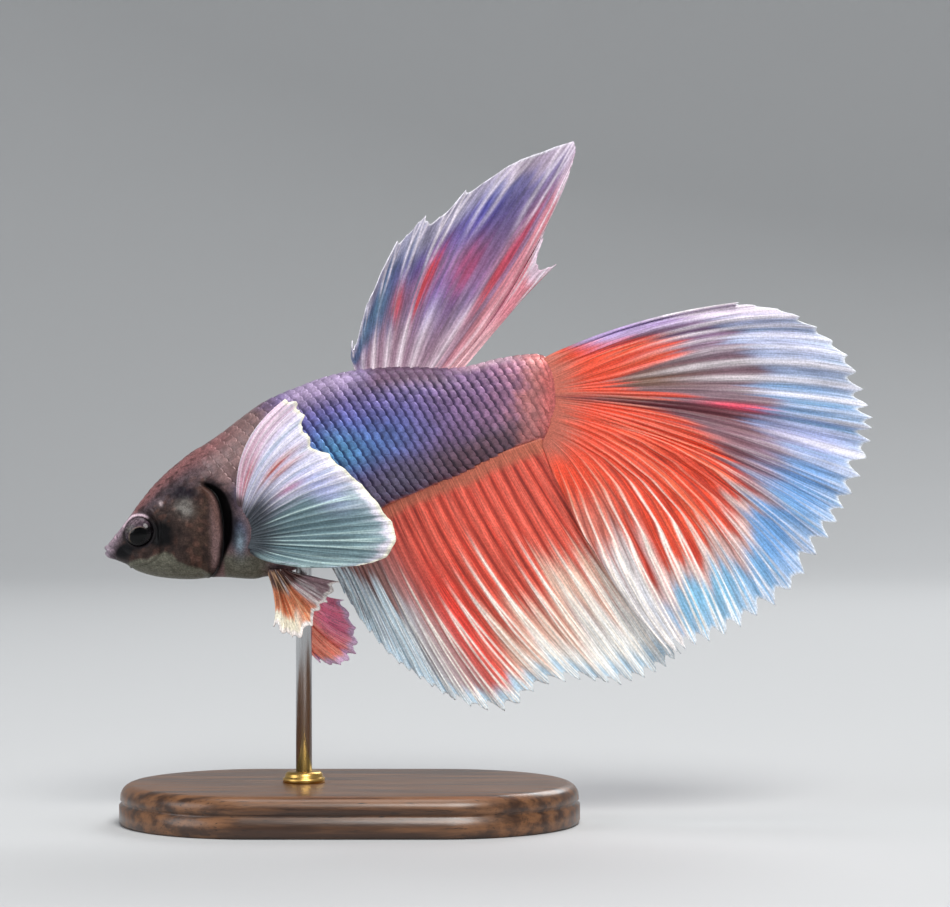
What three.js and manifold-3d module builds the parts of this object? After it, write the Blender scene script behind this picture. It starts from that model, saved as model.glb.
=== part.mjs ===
// A male Siamese fighting fish (Betta splendens) of the half-moon show kind, life size, swimming
// nose-down with every fin spread, held over an oval base by one short rod.
//
// Millimetres. X runs from the snout towards the tail, Y from the fish's left side to its right,
// Z up. The origin is the centre of the underside of the base.
import * as THREE from "three";
import { mergeVertices } from "three/addons/utils/BufferGeometryUtils.js";
import Module from "manifold-3d";

const wasm = await Module();
wasm.setup();

// Room left between neighbouring pieces.
const GAP = 0.3;

// The body, as upright sections from the snout to the root of the tail fin:
// place along X, height of the back, height of the belly, half the width.
const BODY_SECTIONS = [
  [-24.5, 27.2, 27.2, 0],
  [-24.3, 27.65, 26.75, 0.6],
  [-23.6, 28.5, 26.3, 1.2],
  [-22.4, 30.0, 25.8, 1.9],
  [-21.1, 31.8, 25.05, 2.45],
  [-19.0, 34.3, 24.5, 3.15],
  [-16.0, 36.85, 24.27, 3.8],
  [-13.0, 38.85, 24.5, 4.0],
  [-9.0, 41.8, 24.35, 4.1],
  [-5.0, 43.6, 25.3, 4.05],
  [-1.0, 44.9, 27.9, 3.8],
  [3.5, 45.5, 31.2, 3.2],
  [7.0, 45.55, 32.8, 2.7],
  [11.0, 45.5, 34.4, 2.2],
  [15.0, 46.4, 36.4, 1.7],
  [18.0, 46.85, 37.9, 1.25],
  [19.5, 46.6, 38.1, 0.95],
  [20.4, 45.0, 39.4, 0.6],
  [20.8, 42.2, 42.2, 0],
];
const WIDEST_LEVEL = 0.52; // of the section's height, above the belly
const BACK_ROUNDNESS = 0.95;
const BELLY_ROUNDNESS = 1.12; // above 1 draws the section in towards a keel
const RINGS = 34;
const RING_SIDES = 24;

// Where the body is parted.
const NECK_X = -12.55;
const STALK_X = 11.2;
const COVER = { x: -17.5, z: 28.2, halfLength: 4.65, halfHeight: 6.0, frontX: -18.2, inner: 2.2 };
const MOUTH = { x: -24.8, z: 27.05, slopeDeg: -18, length: 2.7 };
const EYE = { x: -21.0, y: 1.7, z: 28.8, radius: 1.6, halfDepth: 1.2 }; // flatter than a ball

// The stand: an oval wooden base, a rod and the collar at its foot.
const BASE = { length: 46, width: 28, height: 4, chamfer: 0.8 };
const ROD = { x: -4.6, radius: 0.8, foot: 2, top: 28 }; // sunk in the base and in the belly
const COLLAR = { radius: 2.1, height: 1.1 };

const FAR = 90; // past every side of the model, for cutting tools
const ROUND_SIDES = 20;

// Fins are 0.6 mm thick. Each is a fan of rays that rise from a base line. A ray is given by its
// place along the base (0 to 1), the way its tip lies (degrees up from +X), its length, and how far
// it bows to the left of that line, as a share of the length. Between the listed rays all four
// values run smoothly. The rim has one point for each ray and a notch between two.
const FIN_THICKNESS = 0.6;
const COLUMNS_PER_RAY = 2;

const BACK_LINE = [
  [0.5, 45.0],
  [11.0, 45.0],
];
const BELLY_LINE = [
  [-2.8, 27.3],
  [-1.0, 28.4],
  [3.5, 31.7],
  [7.0, 33.3],
  [11.0, 34.9],
  [15.0, 36.9],
  [19.1, 38.4],
];
const TAIL_LINE = [
  [19.2, 46.3],
  [20.0, 44.4],
  [20.1, 42.1],
  [20.0, 39.8],
  [19.2, 37.9],
];
const BREAST_LINE = [
  [-10.7, 30.4],
  [-9.9, 27.4],
];
const PELVIS_LINE = [
  [-8.2, 25.2],
  [-6.2, 25.2],
];

const DORSAL = {
  base: BACK_LINE,
  rays: [
    [0.0, 93, 3.4, 0.11],
    [0.08, 86, 7.2, 0.07],
    [0.17, 79, 13.6, 0.09],
    [0.29, 75, 16.6, 0.09],
    [0.4, 69, 19.7, 0.1],
    [0.52, 62, 24.1, 0.1],
    [0.71, 58, 27.2, 0.0],
    [0.86, 58, 23.4, -0.07],
    [0.93, 56, 16.4, -0.07],
    [1.0, 48, 14.7, 0.04],
  ],
  count: 9,
  notch: 1.0,
  // Leans a little to the left and falls in five soft folds.
  side: (u, v) => -0.9 * v * v + 0.45 * v * Math.sin(2 * Math.PI * 5 * u),
};
const ANAL = {
  base: BELLY_LINE,
  rays: [
    [0.0, -63, 5.1, 0.07],
    [0.03, -65, 9.5, 0.06],
    [0.08, -65, 13.5, 0.02],
    [0.13, -63, 17.0, -0.01],
    [0.2, -62, 20.6, -0.04],
    [0.3, -59, 24.0, -0.08],
    [0.43, -55, 23.7, -0.11],
    [0.59, -55, 24.9, -0.09],
    [0.74, -57, 26.7, -0.06],
    [0.88, -57, 26.9, -0.03],
    [1.0, -57, 25.9, -0.02],
  ],
  count: 28,
  notch: 0.7,
  // Its rear part hangs just behind the tail fin's lower lobe.
  side: (u, v) =>
    1.0 * v * THREE.MathUtils.smoothstep(u, 0.55, 1) + 0.25 * v * Math.sin(2 * Math.PI * 9 * u),
};
const CAUDAL = {
  base: TAIL_LINE,
  rays: [
    [0.0, 16, 20.5, 0.08],
    [0.09, 11, 25.9, 0.11],
    [0.22, 4, 29.9, 0.15],
    [0.36, -3, 31.9, 0.06],
    [0.51, -7, 32.4, 0.05],
    [0.64, -15, 31.3, 0.07],
    [0.72, -23, 30.2, 0.12],
    [0.81, -34, 29.2, 0.16],
    [0.88, -45, 27.5, 0.2],
    [0.96, -52, 25.4, 0.14],
    [1.0, -55, 24.0, -0.05],
  ],
  count: 30,
  notch: 0.8,
  // Deep folds in the upper lobe die out downwards; the lower lobe swings to the left.
  side: (u, v) =>
    -1.1 * v * THREE.MathUtils.smoothstep(u, 0.4, 1) +
    v * (0.7 - 0.45 * u) * Math.sin(2 * Math.PI * 8 * u),
};
const PECTORAL = {
  base: BREAST_LINE,
  rays: [
    [0.0, 68, 12.7, 0.3],
    [0.09, 61, 13.2, 0.24],
    [0.21, 52, 11.4, 0.19],
    [0.32, 36, 11.6, 0.16],
    [0.46, 24, 12.6, 0.11],
    [0.59, 12, 14.0, 0.06],
    [0.72, 3, 15.0, 0.01],
    [0.84, -5, 13.8, -0.01],
    [0.96, -10, 9.7, -0.12],
    [1.0, -15, 4.3, -0.16],
  ],
  count: 13,
  notch: 0.45,
  // Stands away from the flank and cups back towards it at the rim.
  side: (u, v) => -2.8 - 5.0 * Math.sin(1.9 * v) - 0.25 * v * Math.sin(2 * Math.PI * 6 * u),
};
const PELVIC_LEFT = {
  base: PELVIS_LINE,
  rays: [
    [0.1, -84, 5.6, 0.16],
    [0.2, -74, 6.8, 0.11],
    [0.35, -65, 7.3, 0.08],
    [0.6, -45, 5.9, -0.04],
    [0.8, -29, 5.6, -0.06],
    [1.0, -11, 5.5, -0.03],
  ],
  count: 8,
  notch: 0.5,
  side: (u, v) => -1.7 - 1.6 * v - 0.35 * v * Math.sin(2 * Math.PI * 3 * u),
};
const PELVIC_RIGHT = {
  base: PELVIS_LINE,
  rays: [
    [0.05, -62, 10.8, -0.17],
    [0.15, -56, 11.8, -0.17],
    [0.3, -50, 12.0, -0.16],
    [0.5, -44, 11.2, -0.2],
    [0.7, -37, 9.0, -0.22],
    [0.95, -29, 6.5, -0.23],
  ],
  count: 8,
  notch: 0.5,
  side: (u, v) => 1.7 + 1.3 * v + 0.35 * v * Math.sin(2 * Math.PI * 3 * u),
};

// A closed geometry as a solid, for cutting and joining.
function solidOf(geometry) {
  const bare = geometry.clone();
  bare.deleteAttribute("normal");
  bare.deleteAttribute("uv");
  const merged = mergeVertices(bare, 1e-4);
  return new wasm.Manifold(
    new wasm.Mesh({
      numProp: 3,
      vertProperties: new Float32Array(merged.attributes.position.array),
      triVerts: new Uint32Array(merged.index.array),
    }),
  );
}

function geometryOf(solid) {
  const mesh = solid.getMesh();
  const positions = new Float32Array(mesh.numVert * 3);
  for (let i = 0; i < mesh.numVert; i += 1) {
    const at = i * mesh.numProp;
    positions.set(mesh.vertProperties.subarray(at, at + 3), i * 3);
  }
  const geometry = new THREE.BufferGeometry();
  geometry.setAttribute("position", new THREE.BufferAttribute(positions, 3));
  geometry.setIndex(new THREE.BufferAttribute(new Uint32Array(mesh.triVerts), 1));
  geometry.computeVertexNormals();
  return geometry;
}

// A closed geometry from rows of points and the triangles between them.
function geometryFrom(points, triangles) {
  const geometry = new THREE.BufferGeometry();
  geometry.setFromPoints(points);
  geometry.setIndex(triangles);
  return geometry;
}

// The body as one loft; grown by a margin it cuts the fins off just clear of the skin.
function bodySolid(margin) {
  const curveOf = (column) =>
    new THREE.SplineCurve(BODY_SECTIONS.map((row) => new THREE.Vector2(row[0], row[column])));
  const [back, belly, half] = [curveOf(1), curveOf(2), curveOf(3)];
  const points = [];
  for (let ring = 1; ring < RINGS; ring += 1) {
    const t = ring / RINGS;
    const x = back.getPoint(t).x;
    const top = back.getPoint(t).y + margin;
    const low = belly.getPoint(t).y - margin;
    const width = half.getPoint(t).y + margin;
    const middle = low + WIDEST_LEVEL * (top - low);
    for (let side = 0; side < RING_SIDES; side += 1) {
      const angle = (2 * Math.PI * side) / RING_SIDES;
      const up = Math.cos(angle);
      const out = Math.sin(angle);
      const roundness = up > 0 ? BACK_ROUNDNESS : BELLY_ROUNDNESS;
      const y = width * Math.sign(out) * Math.abs(out) ** roundness;
      const z = middle + up * (up > 0 ? top - middle : middle - low);
      points.push(new THREE.Vector3(x, y, z));
    }
  }
  const [snout, tail] = [BODY_SECTIONS[0], BODY_SECTIONS[BODY_SECTIONS.length - 1]];
  const snoutIndex = points.length;
  points.push(new THREE.Vector3(snout[0] - margin, 0, snout[1]));
  points.push(new THREE.Vector3(tail[0] + margin, 0, tail[1]));
  const triangles = [];
  for (let side = 0; side < RING_SIDES; side += 1) {
    const next = (side + 1) % RING_SIDES;
    triangles.push(snoutIndex, side, next);
    for (let ring = 0; ring < RINGS - 2; ring += 1) {
      const a = ring * RING_SIDES;
      const b = a + RING_SIDES;
      triangles.push(a + side, b + side, b + next, a + side, b + next, a + next);
    }
    const last = (RINGS - 2) * RING_SIDES;
    triangles.push(snoutIndex + 1, last + next, last + side);
  }
  return solidOf(geometryFrom(points, triangles));
}

// The middle surface of a fin: u runs along the base, v from the base to the rim.
function finSurface(fin) {
  const base = new THREE.SplineCurve(fin.base.map(([x, z]) => new THREE.Vector2(x, z)));
  const place = new THREE.SplineCurve(fin.rays.map((r) => new THREE.Vector2(r[0], r[1])));
  const reach = new THREE.SplineCurve(fin.rays.map((r) => new THREE.Vector2(r[2], r[3])));
  return (u, v) => {
    const [at, aim] = [place.getPoint(u).x, THREE.MathUtils.degToRad(place.getPoint(u).y)];
    const [length, bow] = [reach.getPoint(u).x, reach.getPoint(u).y];
    const root = base.getPointAt(THREE.MathUtils.clamp(at, 0, 1));
    const along = new THREE.Vector2(Math.cos(aim), Math.sin(aim));
    const tip = root.clone().addScaledVector(along, length);
    const bend = root.clone().add(tip).multiplyScalar(0.5);
    bend.addScaledVector(new THREE.Vector2(-along.y, along.x), bow * length);
    const onRay = new THREE.QuadraticBezierCurve(root, bend, tip);
    const tooth = 0.5 - 0.5 * Math.cos(2 * Math.PI * u * fin.count);
    const p = onRay.getPoint(v * (1 - (tooth * fin.notch) / length));
    return new THREE.Vector3(p.x, fin.side(u, v), p.y);
  };
}

// A fin as a closed plate with a face on each side of its middle surface.
function finSolid(fin, rows, thickness = FIN_THICKNESS) {
  const surface = finSurface(fin);
  const columns = fin.count * COLUMNS_PER_RAY;
  const points = [];
  const step = 1e-3;
  for (const face of [-1, 1])
    for (let i = 0; i <= columns; i += 1)
      for (let j = 0; j <= rows; j += 1) {
        const [u, v] = [i / columns, j / rows];
        const [u0, u1] = [Math.max(0, u - step), Math.min(1, u + step)];
        const across = surface(u1, v).sub(surface(u0, v));
        const along = surface(u, Math.min(1, v + step)).sub(surface(u, Math.max(0, v - step)));
        const normal = across.cross(along).normalize();
        points.push(surface(u, v).addScaledVector(normal, (face * thickness) / 2));
      }
  const across = rows + 1;
  const far = (columns + 1) * across;
  const triangles = [];
  const quad = (a, b, c, d) => triangles.push(a, b, c, a, c, d);
  for (let i = 0; i < columns; i += 1)
    for (let j = 0; j < rows; j += 1) {
      const a = i * across + j;
      quad(a, a + 1, a + across + 1, a + across);
      quad(far + a, far + a + across, far + a + across + 1, far + a + 1);
    }
  for (let i = 0; i < columns; i += 1) {
    const a = i * across;
    const b = a + rows;
    quad(a, a + across, far + a + across, far + a);
    quad(b + across, b, far + b, far + b + across);
  }
  for (let j = 0; j < rows; j += 1) {
    const b = columns * across + j;
    quad(j + 1, j, far + j, far + j + 1);
    quad(b, b + 1, far + b + 1, far + b);
  }
  const solid = solidOf(geometryFrom(points, triangles));
  const insideOut = solid.volume() < 0;
  return insideOut ? solidOf(geometryFrom(points, triangles.reverse())) : solid;
}

function boxSolid(x0, x1, y0, y1, z0, z1) {
  const geometry = new THREE.BoxGeometry(x1 - x0, y1 - y0, z1 - z0);
  geometry.translate((x0 + x1) / 2, (y0 + y1) / 2, (z0 + z1) / 2);
  return solidOf(geometry);
}

// All of the space between two upright planes across the fish.
function slice(x0, x1) {
  return boxSolid(x0, x1, -FAR, FAR, -FAR, FAR);
}

function uprightCylinder(radius, x, z0, z1) {
  const geometry = new THREE.CylinderGeometry(radius, radius, z1 - z0, ROUND_SIDES);
  geometry.rotateX(Math.PI / 2);
  geometry.translate(x, 0, (z0 + z1) / 2);
  return solidOf(geometry);
}

// The space of one gill cover: an oval on the cheek, cut straight in front.
function coverZone(side, margin) {
  const oval = new THREE.CylinderGeometry(1, 1, FAR, ROUND_SIDES);
  oval.scale(COVER.halfLength + margin, 1, COVER.halfHeight + margin);
  oval.translate(COVER.x, side * (COVER.inner - margin + FAR / 2), COVER.z);
  return solidOf(oval).subtract(slice(-FAR, COVER.frontX - margin));
}

// The space of the lower jaw: a wedge under the line of the mouth.
function jawZone(margin) {
  const geometry = new THREE.BoxGeometry(MOUTH.length + margin, FAR, FAR);
  geometry.translate((MOUTH.length + margin) / 2, 0, margin - FAR / 2);
  geometry.rotateY(THREE.MathUtils.degToRad(-MOUTH.slopeDeg));
  geometry.translate(MOUTH.x, 0, MOUTH.z);
  return solidOf(geometry);
}

function eyeSolid(side, margin) {
  const geometry = new THREE.SphereGeometry(1, 14, 9);
  geometry.rotateX(Math.PI / 2);
  geometry.scale(EYE.radius + margin, EYE.halfDepth + margin, EYE.radius + margin);
  geometry.translate(EYE.x, side * EYE.y, EYE.z);
  return solidOf(geometry);
}

// An upright slab with round ends and a chamfered upper edge.
function baseSolid() {
  const [radius, straight] = [BASE.width / 2, BASE.length - BASE.width];
  const outline = new THREE.Shape();
  const inset = radius - BASE.chamfer;
  outline.absarc(straight / 2, 0, inset, -Math.PI / 2, Math.PI / 2, false);
  outline.absarc(-straight / 2, 0, inset, Math.PI / 2, (3 * Math.PI) / 2, false);
  const slab = new THREE.ExtrudeGeometry(outline, {
    depth: BASE.height - BASE.chamfer,
    curveSegments: ROUND_SIDES / 2,
    bevelEnabled: true,
    bevelThickness: BASE.chamfer,
    bevelSize: BASE.chamfer,
    bevelSegments: 1,
  });
  const belowFloor = boxSolid(-FAR, FAR, -FAR, FAR, -FAR, 0);
  return solidOf(slab).subtract(belowFloor);
}

const fish = new THREE.Group();
const stand = new THREE.Group();

function addPiece(group, name, solid, colour, roughness, metalness = 0) {
  const material = new THREE.MeshStandardMaterial({ color: colour, roughness, metalness });
  const mesh = new THREE.Mesh(geometryOf(solid), material);
  mesh.name = name;
  group.add(mesh);
}

const body = bodySolid(0);
const bodyWithRoom = bodySolid(GAP);
const rodRoom = uprightCylinder(ROD.radius + GAP, ROD.x, ROD.foot - GAP, ROD.top + GAP);

// Head, jaw, gill covers and eyes.
let head = body.intersect(slice(-FAR, NECK_X - GAP / 2));
let jaw = head.intersect(jawZone(0));
head = head.subtract(jawZone(GAP));
for (const [name, side] of [
  ["left", -1],
  ["right", 1],
]) {
  addPiece(fish, "gill_cover_" + name, body.intersect(coverZone(side, 0)), "#5a443e", 0.5);
  addPiece(fish, "eye_" + name, eyeSolid(side, 0), "#14110f", 0.1);
  head = head.subtract(coverZone(side, GAP)).subtract(eyeSolid(side, GAP));
  jaw = jaw.subtract(eyeSolid(side, GAP));
}
addPiece(fish, "head", head, "#6e5450", 0.5);
addPiece(fish, "lower_jaw", jaw, "#8d8a74", 0.5);

// Trunk and tail stalk.
const trunk = body.intersect(slice(NECK_X + GAP / 2, STALK_X - GAP / 2));
addPiece(fish, "trunk", trunk.subtract(rodRoom), "#5c5a8c", 0.4);
addPiece(fish, "tail_stalk", body.intersect(slice(STALK_X + GAP / 2, FAR)), "#9a5a50", 0.4);

// Fins on the middle line.
addPiece(fish, "dorsal_fin", finSolid(DORSAL, 5).subtract(bodyWithRoom), "#6a5a9a", 0.45);
addPiece(fish, "tail_fin", finSolid(CAUDAL, 4).subtract(bodyWithRoom), "#c9705c", 0.45);
const tailRoom = finSolid(CAUDAL, 4, FIN_THICKNESS + 2 * GAP);
const analFin = finSolid(ANAL, 3).subtract(bodyWithRoom).subtract(tailRoom);
addPiece(fish, "anal_fin", analFin, "#d2604c", 0.45);

// Paired fins.
const mirrored = (fin) => ({ ...fin, side: (u, v) => -fin.side(u, v) });
for (const [name, fin] of [
  ["pectoral_fin_left", PECTORAL],
  ["pectoral_fin_right", mirrored(PECTORAL)],
])
  addPiece(fish, name, finSolid(fin, 4).subtract(bodyWithRoom), "#a9bcc4", 0.45);
for (const [name, fin] of [
  ["pelvic_fin_left", PELVIC_LEFT],
  ["pelvic_fin_right", PELVIC_RIGHT],
])
  addPiece(fish, name, finSolid(fin, 4).subtract(bodyWithRoom), "#d87a54", 0.45);

// Stand.
const collarTop = BASE.height + COLLAR.height;
const collar = uprightCylinder(COLLAR.radius, ROD.x, BASE.height, collarTop);
const rod = uprightCylinder(ROD.radius, ROD.x, ROD.foot, ROD.top);
addPiece(stand, "stand_base", baseSolid().subtract(rodRoom), "#3a2417", 0.4);
addPiece(stand, "stand_collar", collar.subtract(rodRoom), "#b08a4a", 0.3, 1);
addPiece(stand, "stand_rod", rod, "#b9bcc0", 0.3, 1);

const model = new THREE.Group();
model.add(fish, stand);
export default model;
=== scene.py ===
# A male Siamese fighting fish of the half-moon show kind, life size, held over a wooden base by
# one steel rod. The sections below work in millimetres, and each mesh turns to metres as it is
# made. X runs from the snout to the tail, Y from the fish's left side to its right, Z up from
# the underside of the base.
import math
import bpy
import numpy as np
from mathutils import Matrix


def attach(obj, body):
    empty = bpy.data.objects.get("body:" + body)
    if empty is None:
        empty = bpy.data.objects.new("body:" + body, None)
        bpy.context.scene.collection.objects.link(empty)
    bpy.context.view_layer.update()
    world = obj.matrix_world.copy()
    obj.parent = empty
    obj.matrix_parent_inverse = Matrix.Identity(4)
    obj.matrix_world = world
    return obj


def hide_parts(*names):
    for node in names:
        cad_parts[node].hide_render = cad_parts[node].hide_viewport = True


MM = 0.001
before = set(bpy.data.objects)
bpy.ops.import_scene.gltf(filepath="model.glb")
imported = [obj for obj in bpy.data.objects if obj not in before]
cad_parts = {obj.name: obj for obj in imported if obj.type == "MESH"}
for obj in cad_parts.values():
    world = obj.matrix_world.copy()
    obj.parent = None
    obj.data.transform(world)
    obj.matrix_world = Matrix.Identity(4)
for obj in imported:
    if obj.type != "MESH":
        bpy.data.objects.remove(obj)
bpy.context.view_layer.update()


# ---- Camera -------------------------------------------------------------------------------
# A long lens, level with the middle of the fish and square to its left side.
SIGHT_X, SIGHT_Z = 12.5, 36.85
SIGHT_DISTANCE = 300
VIEW_WIDTH = 95

camera = bpy.data.objects.new("camera", bpy.data.cameras.new("camera"))
camera.data.sensor_width = 36
camera.data.lens = camera.data.sensor_width * SIGHT_DISTANCE / VIEW_WIDTH
camera.data.clip_start = 0.01
camera.location = (SIGHT_X * MM, -SIGHT_DISTANCE * MM, SIGHT_Z * MM)
camera.rotation_euler = (math.radians(90), 0, 0)
bpy.context.scene.collection.objects.link(camera)
bpy.context.scene.camera = camera
bpy.context.scene.view_settings.view_transform = "Standard"


# ---- Studio -------------------------------------------------------------------------------
# A pale matt floor that curves up into a round wall, so that no edge shows from any side. Four
# soft panels light it: the key from the left front, a fill, one behind for the rims, one above.
FLOOR_RADIUS = 600
COVE_RADIUS = 380
WALL_TOP = 1500
STAGE_SIDES = 96
LIT_POINT = (5, 0, 38)  # where every panel faces


def fill(tree, node, sockets):
    """Sets inputs, by name or number, to plain values or links them to other nodes' outputs."""
    for socket, value in sockets.items():
        if isinstance(value, bpy.types.NodeSocket):
            tree.links.new(value, node.inputs[socket])
        else:
            node.inputs[socket].default_value = value


def new_finish(name):
    """A material with its node tree and shader."""
    material = bpy.data.materials.new(name)
    material.use_nodes = True
    return material, material.node_tree, material.node_tree.nodes["Principled BSDF"]


def studio_floor():
    bends = np.radians(np.linspace(0, 90, 13))
    profile = [(r, 0) for r in np.linspace(0, FLOOR_RADIUS, 8)[1:-1]]
    profile += [
        (FLOOR_RADIUS + COVE_RADIUS * math.sin(b), COVE_RADIUS * (1 - math.cos(b))) for b in bends
    ]
    profile.append((FLOOR_RADIUS + COVE_RADIUS, WALL_TOP))
    turns = [2 * math.pi * side / STAGE_SIDES for side in range(STAGE_SIDES)]
    points = [(0, 0, 0)]
    points += [(r * math.cos(t) * MM, r * math.sin(t) * MM, h * MM) for r, h in profile for t in turns]
    sides = [(1 + side, 1 + (side + 1) % STAGE_SIDES) for side in range(STAGE_SIDES)]
    faces = [(0, a, b) for a, b in sides]
    for ring in range(STAGE_SIDES, len(profile) * STAGE_SIDES, STAGE_SIDES):
        faces += [(ring - STAGE_SIDES + a, ring + a, ring + b, ring - STAGE_SIDES + b) for a, b in sides]
    mesh = bpy.data.meshes.new("studio_floor")
    mesh.from_pydata(points, [], faces)
    mesh.shade_smooth()
    floor = bpy.data.objects.new("studio_floor", mesh)
    paper, tree, shader = new_finish("pale_paper")
    fill(tree, shader, {"Base Color": (0.5, 0.51, 0.52, 1), "Roughness": 0.9})
    mesh.materials.append(paper)
    bpy.context.scene.collection.objects.link(floor)


def light_panel(name, place, size, watts, colour=(1, 1, 1)):
    lamp = bpy.data.lights.new(name, "AREA")
    lamp.shape = "DISK"
    lamp.size = size * MM
    lamp.energy = watts
    lamp.color = colour
    panel = bpy.data.objects.new(name, lamp)
    panel.location = [p * MM for p in place]
    away = panel.location - type(panel.location)(np.array(LIT_POINT) * MM)
    panel.rotation_euler = away.to_track_quat("Z", "Y").to_euler()
    panel.visible_camera = False
    bpy.context.scene.collection.objects.link(panel)


studio_floor()
light_panel("key_panel", (150, -460, 520), 330, 4.0, (1.0, 0.98, 0.95))
light_panel("side_panel", (-560, -300, 300), 420, 1.3, (0.95, 0.97, 1.0))
light_panel("rim_panel", (260, 520, 480), 420, 2.4)
light_panel("top_panel", (0, 40, 760), 420, 1.8)
studio_air = bpy.data.worlds.new("studio_air")
studio_air.use_nodes = True
air_tree = studio_air.node_tree
fill(air_tree, air_tree.nodes["Background"], {"Color": (0.9, 0.95, 1, 1), "Strength": 0.3})
bpy.context.scene.world = studio_air


# ---- Stand --------------------------------------------------------------------------------
# An oval base of oiled walnut with a turned edge, a brushed steel rod that stands in it and
# goes up into the belly, and a brass collar pressed over the rod's foot.
BASE_LENGTH, BASE_WIDTH, BASE_HEIGHT = 46, 28, 4
ROD_X, ROD_RADIUS, ROD_FOOT, ROD_TOP = -4.6, 0.8, 2, 28
COLLAR_RADIUS, COLLAR_HEIGHT = 2.1, 1.1


def ink(code):
    """A hex colour as linear red, green and blue."""
    share = np.array([int(code[i : i + 2], 16) for i in (0, 2, 4)]) / 255
    return np.where(share <= 0.04045, share / 12.92, ((share + 0.055) / 1.055) ** 2.4)


def make_piece(name, points, faces, material, corner_uv=None, **marks):
    """A smooth mesh from points in millimetres. Marks are numbers or colours kept at its points."""
    mesh = bpy.data.meshes.new(name)
    mesh.from_pydata((np.asarray(points) * MM).tolist(), [], faces)
    mesh.shade_smooth()
    for mark, values in marks.items():
        values = np.asarray(values, np.float32)
        if values.ndim == 1:
            attribute = mesh.attributes.new(mark, "FLOAT", "POINT")
            attribute.data.foreach_set("value", values)
        else:
            attribute = mesh.attributes.new(mark, "FLOAT_COLOR", "POINT")
            whole = np.concatenate([values, np.ones((len(values), 1), np.float32)], axis=1)
            attribute.data.foreach_set("color", whole.ravel())
    if corner_uv is not None:
        layer = mesh.uv_layers.new(name="OFBake")
        layer.data.foreach_set("uv", np.asarray(corner_uv, np.float32).ravel())
    mesh.materials.append(material)
    piece = bpy.data.objects.new(name, mesh)
    bpy.context.scene.collection.objects.link(piece)
    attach(piece, "root")
    return piece


def lay(tree, kind, sockets, **settings):
    """Adds a node with those inputs and settings."""
    node = tree.nodes.new("ShaderNode" + kind)
    for key, value in settings.items():
        setattr(node, key, value)
    fill(tree, node, sockets)
    return node


def mixed(tree, share, first, second, mode="MIX"):
    """One colour laid over another; a colour is an output or linear red, green and blue."""
    sockets = {0: share}
    for socket, colour in ((6, first), (7, second)):
        sockets[socket] = colour if isinstance(colour, bpy.types.NodeSocket) else (*colour, 1)
    return lay(tree, "Mix", sockets, data_type="RGBA", blend_type=mode).outputs[2]


def ranged(tree, value, low, high, to_low=0.0, to_high=1.0):
    """A value's soft rise between two levels, as a number from to_low to to_high."""
    sockets = {0: value, 1: low, 2: high, 3: to_low, 4: to_high}
    return lay(tree, "MapRange", sockets, interpolation_type="SMOOTHSTEP").outputs[0]


def noise(tree, vector, scale, detail, rough=0.5):
    sockets = {"Vector": vector, "Scale": scale, "Detail": detail, "Roughness": rough}
    return lay(tree, "TexNoise", sockets).outputs["Fac"]


def stretched(tree, vector, stretch):
    return lay(tree, "Mapping", {"Vector": vector, "Scale": stretch}).outputs[0]


def in_place(tree, stretch=(1, 1, 1)):
    """The point on the piece, in metres, stretched so that marks run long across the small ones."""
    return stretched(tree, lay(tree, "TexCoord", {}).outputs["Object"], stretch)


def bump(tree, height, depth, strength):
    sockets = {"Height": height, "Distance": depth * MM, "Strength": strength}
    return lay(tree, "Bump", sockets).outputs[0]


def walnut():
    material, tree, shader = new_finish("oiled_walnut")
    grain = noise(tree, in_place(tree, (60, 900, 900)), 1.0, 6, 0.6)
    pores = noise(tree, in_place(tree, (500, 9000, 6000)), 1.0, 2)
    wood = mixed(tree, ranged(tree, grain, 0.35, 0.65), ink("3a2417"), ink("7a5233"))
    fill(tree, shader, {
        "Base Color": mixed(tree, ranged(tree, pores, 0.6, 0.75), wood, ink("24160e")),
        "Roughness": ranged(tree, grain, 0.3, 0.7, 0.3, 0.42),
        "Normal": bump(tree, pores, 0.02, 0.4),
        "Coat Weight": 0.25,
        "Coat Roughness": 0.2,
    })
    return material


def brushed_metal(name, colour, stretch):
    material, tree, shader = new_finish(name)
    brush = noise(tree, in_place(tree, stretch), 1.0, 4)
    fill(tree, shader, {
        "Base Color": mixed(tree, ranged(tree, brush, 0.3, 0.7), colour * 0.82, colour),
        "Roughness": ranged(tree, brush, 0.3, 0.7, 0.22, 0.38),
        "Normal": bump(tree, brush, 0.004, 0.4),
        "Metallic": 1,
    })
    return material


def ring_faces(rings, sides):
    """Quads between closed rings of points, with a fan over each end's middle point."""
    faces = []
    for ring in range(rings - 1):
        a, b = ring * sides, (ring + 1) * sides
        faces += [(a + s, a + (s + 1) % sides, b + (s + 1) % sides, b + s) for s in range(sides)]
    low, high = rings * sides, rings * sides + 1
    top = (rings - 1) * sides
    faces += [(low, (s + 1) % sides, s) for s in range(sides)]
    faces += [(high, top + s, top + (s + 1) % sides) for s in range(sides)]
    return faces


def turned_piece(name, profile, outline, material):
    """A solid whose level outline is drawn in or out up its height, as a router cuts it."""
    points = []
    for inset, height in profile:
        across, deep = outline(inset)
        points += list(zip(across, deep, np.full(len(across), height)))
    sides = len(across)
    middle = np.mean(points[:sides], axis=0)
    points.append((middle[0], middle[1], profile[0][1]))
    points.append((middle[0], middle[1], profile[-1][1]))
    return make_piece(name, points, ring_faces(len(profile), sides), material)


def oval(inset):
    turns = np.radians(np.arange(0, 360, 3))
    radius = BASE_WIDTH / 2 - inset
    straight = (BASE_LENGTH - BASE_WIDTH) / 2
    return radius * np.cos(turns) + straight * np.sign(np.cos(turns).round(9)), radius * np.sin(turns)


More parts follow.
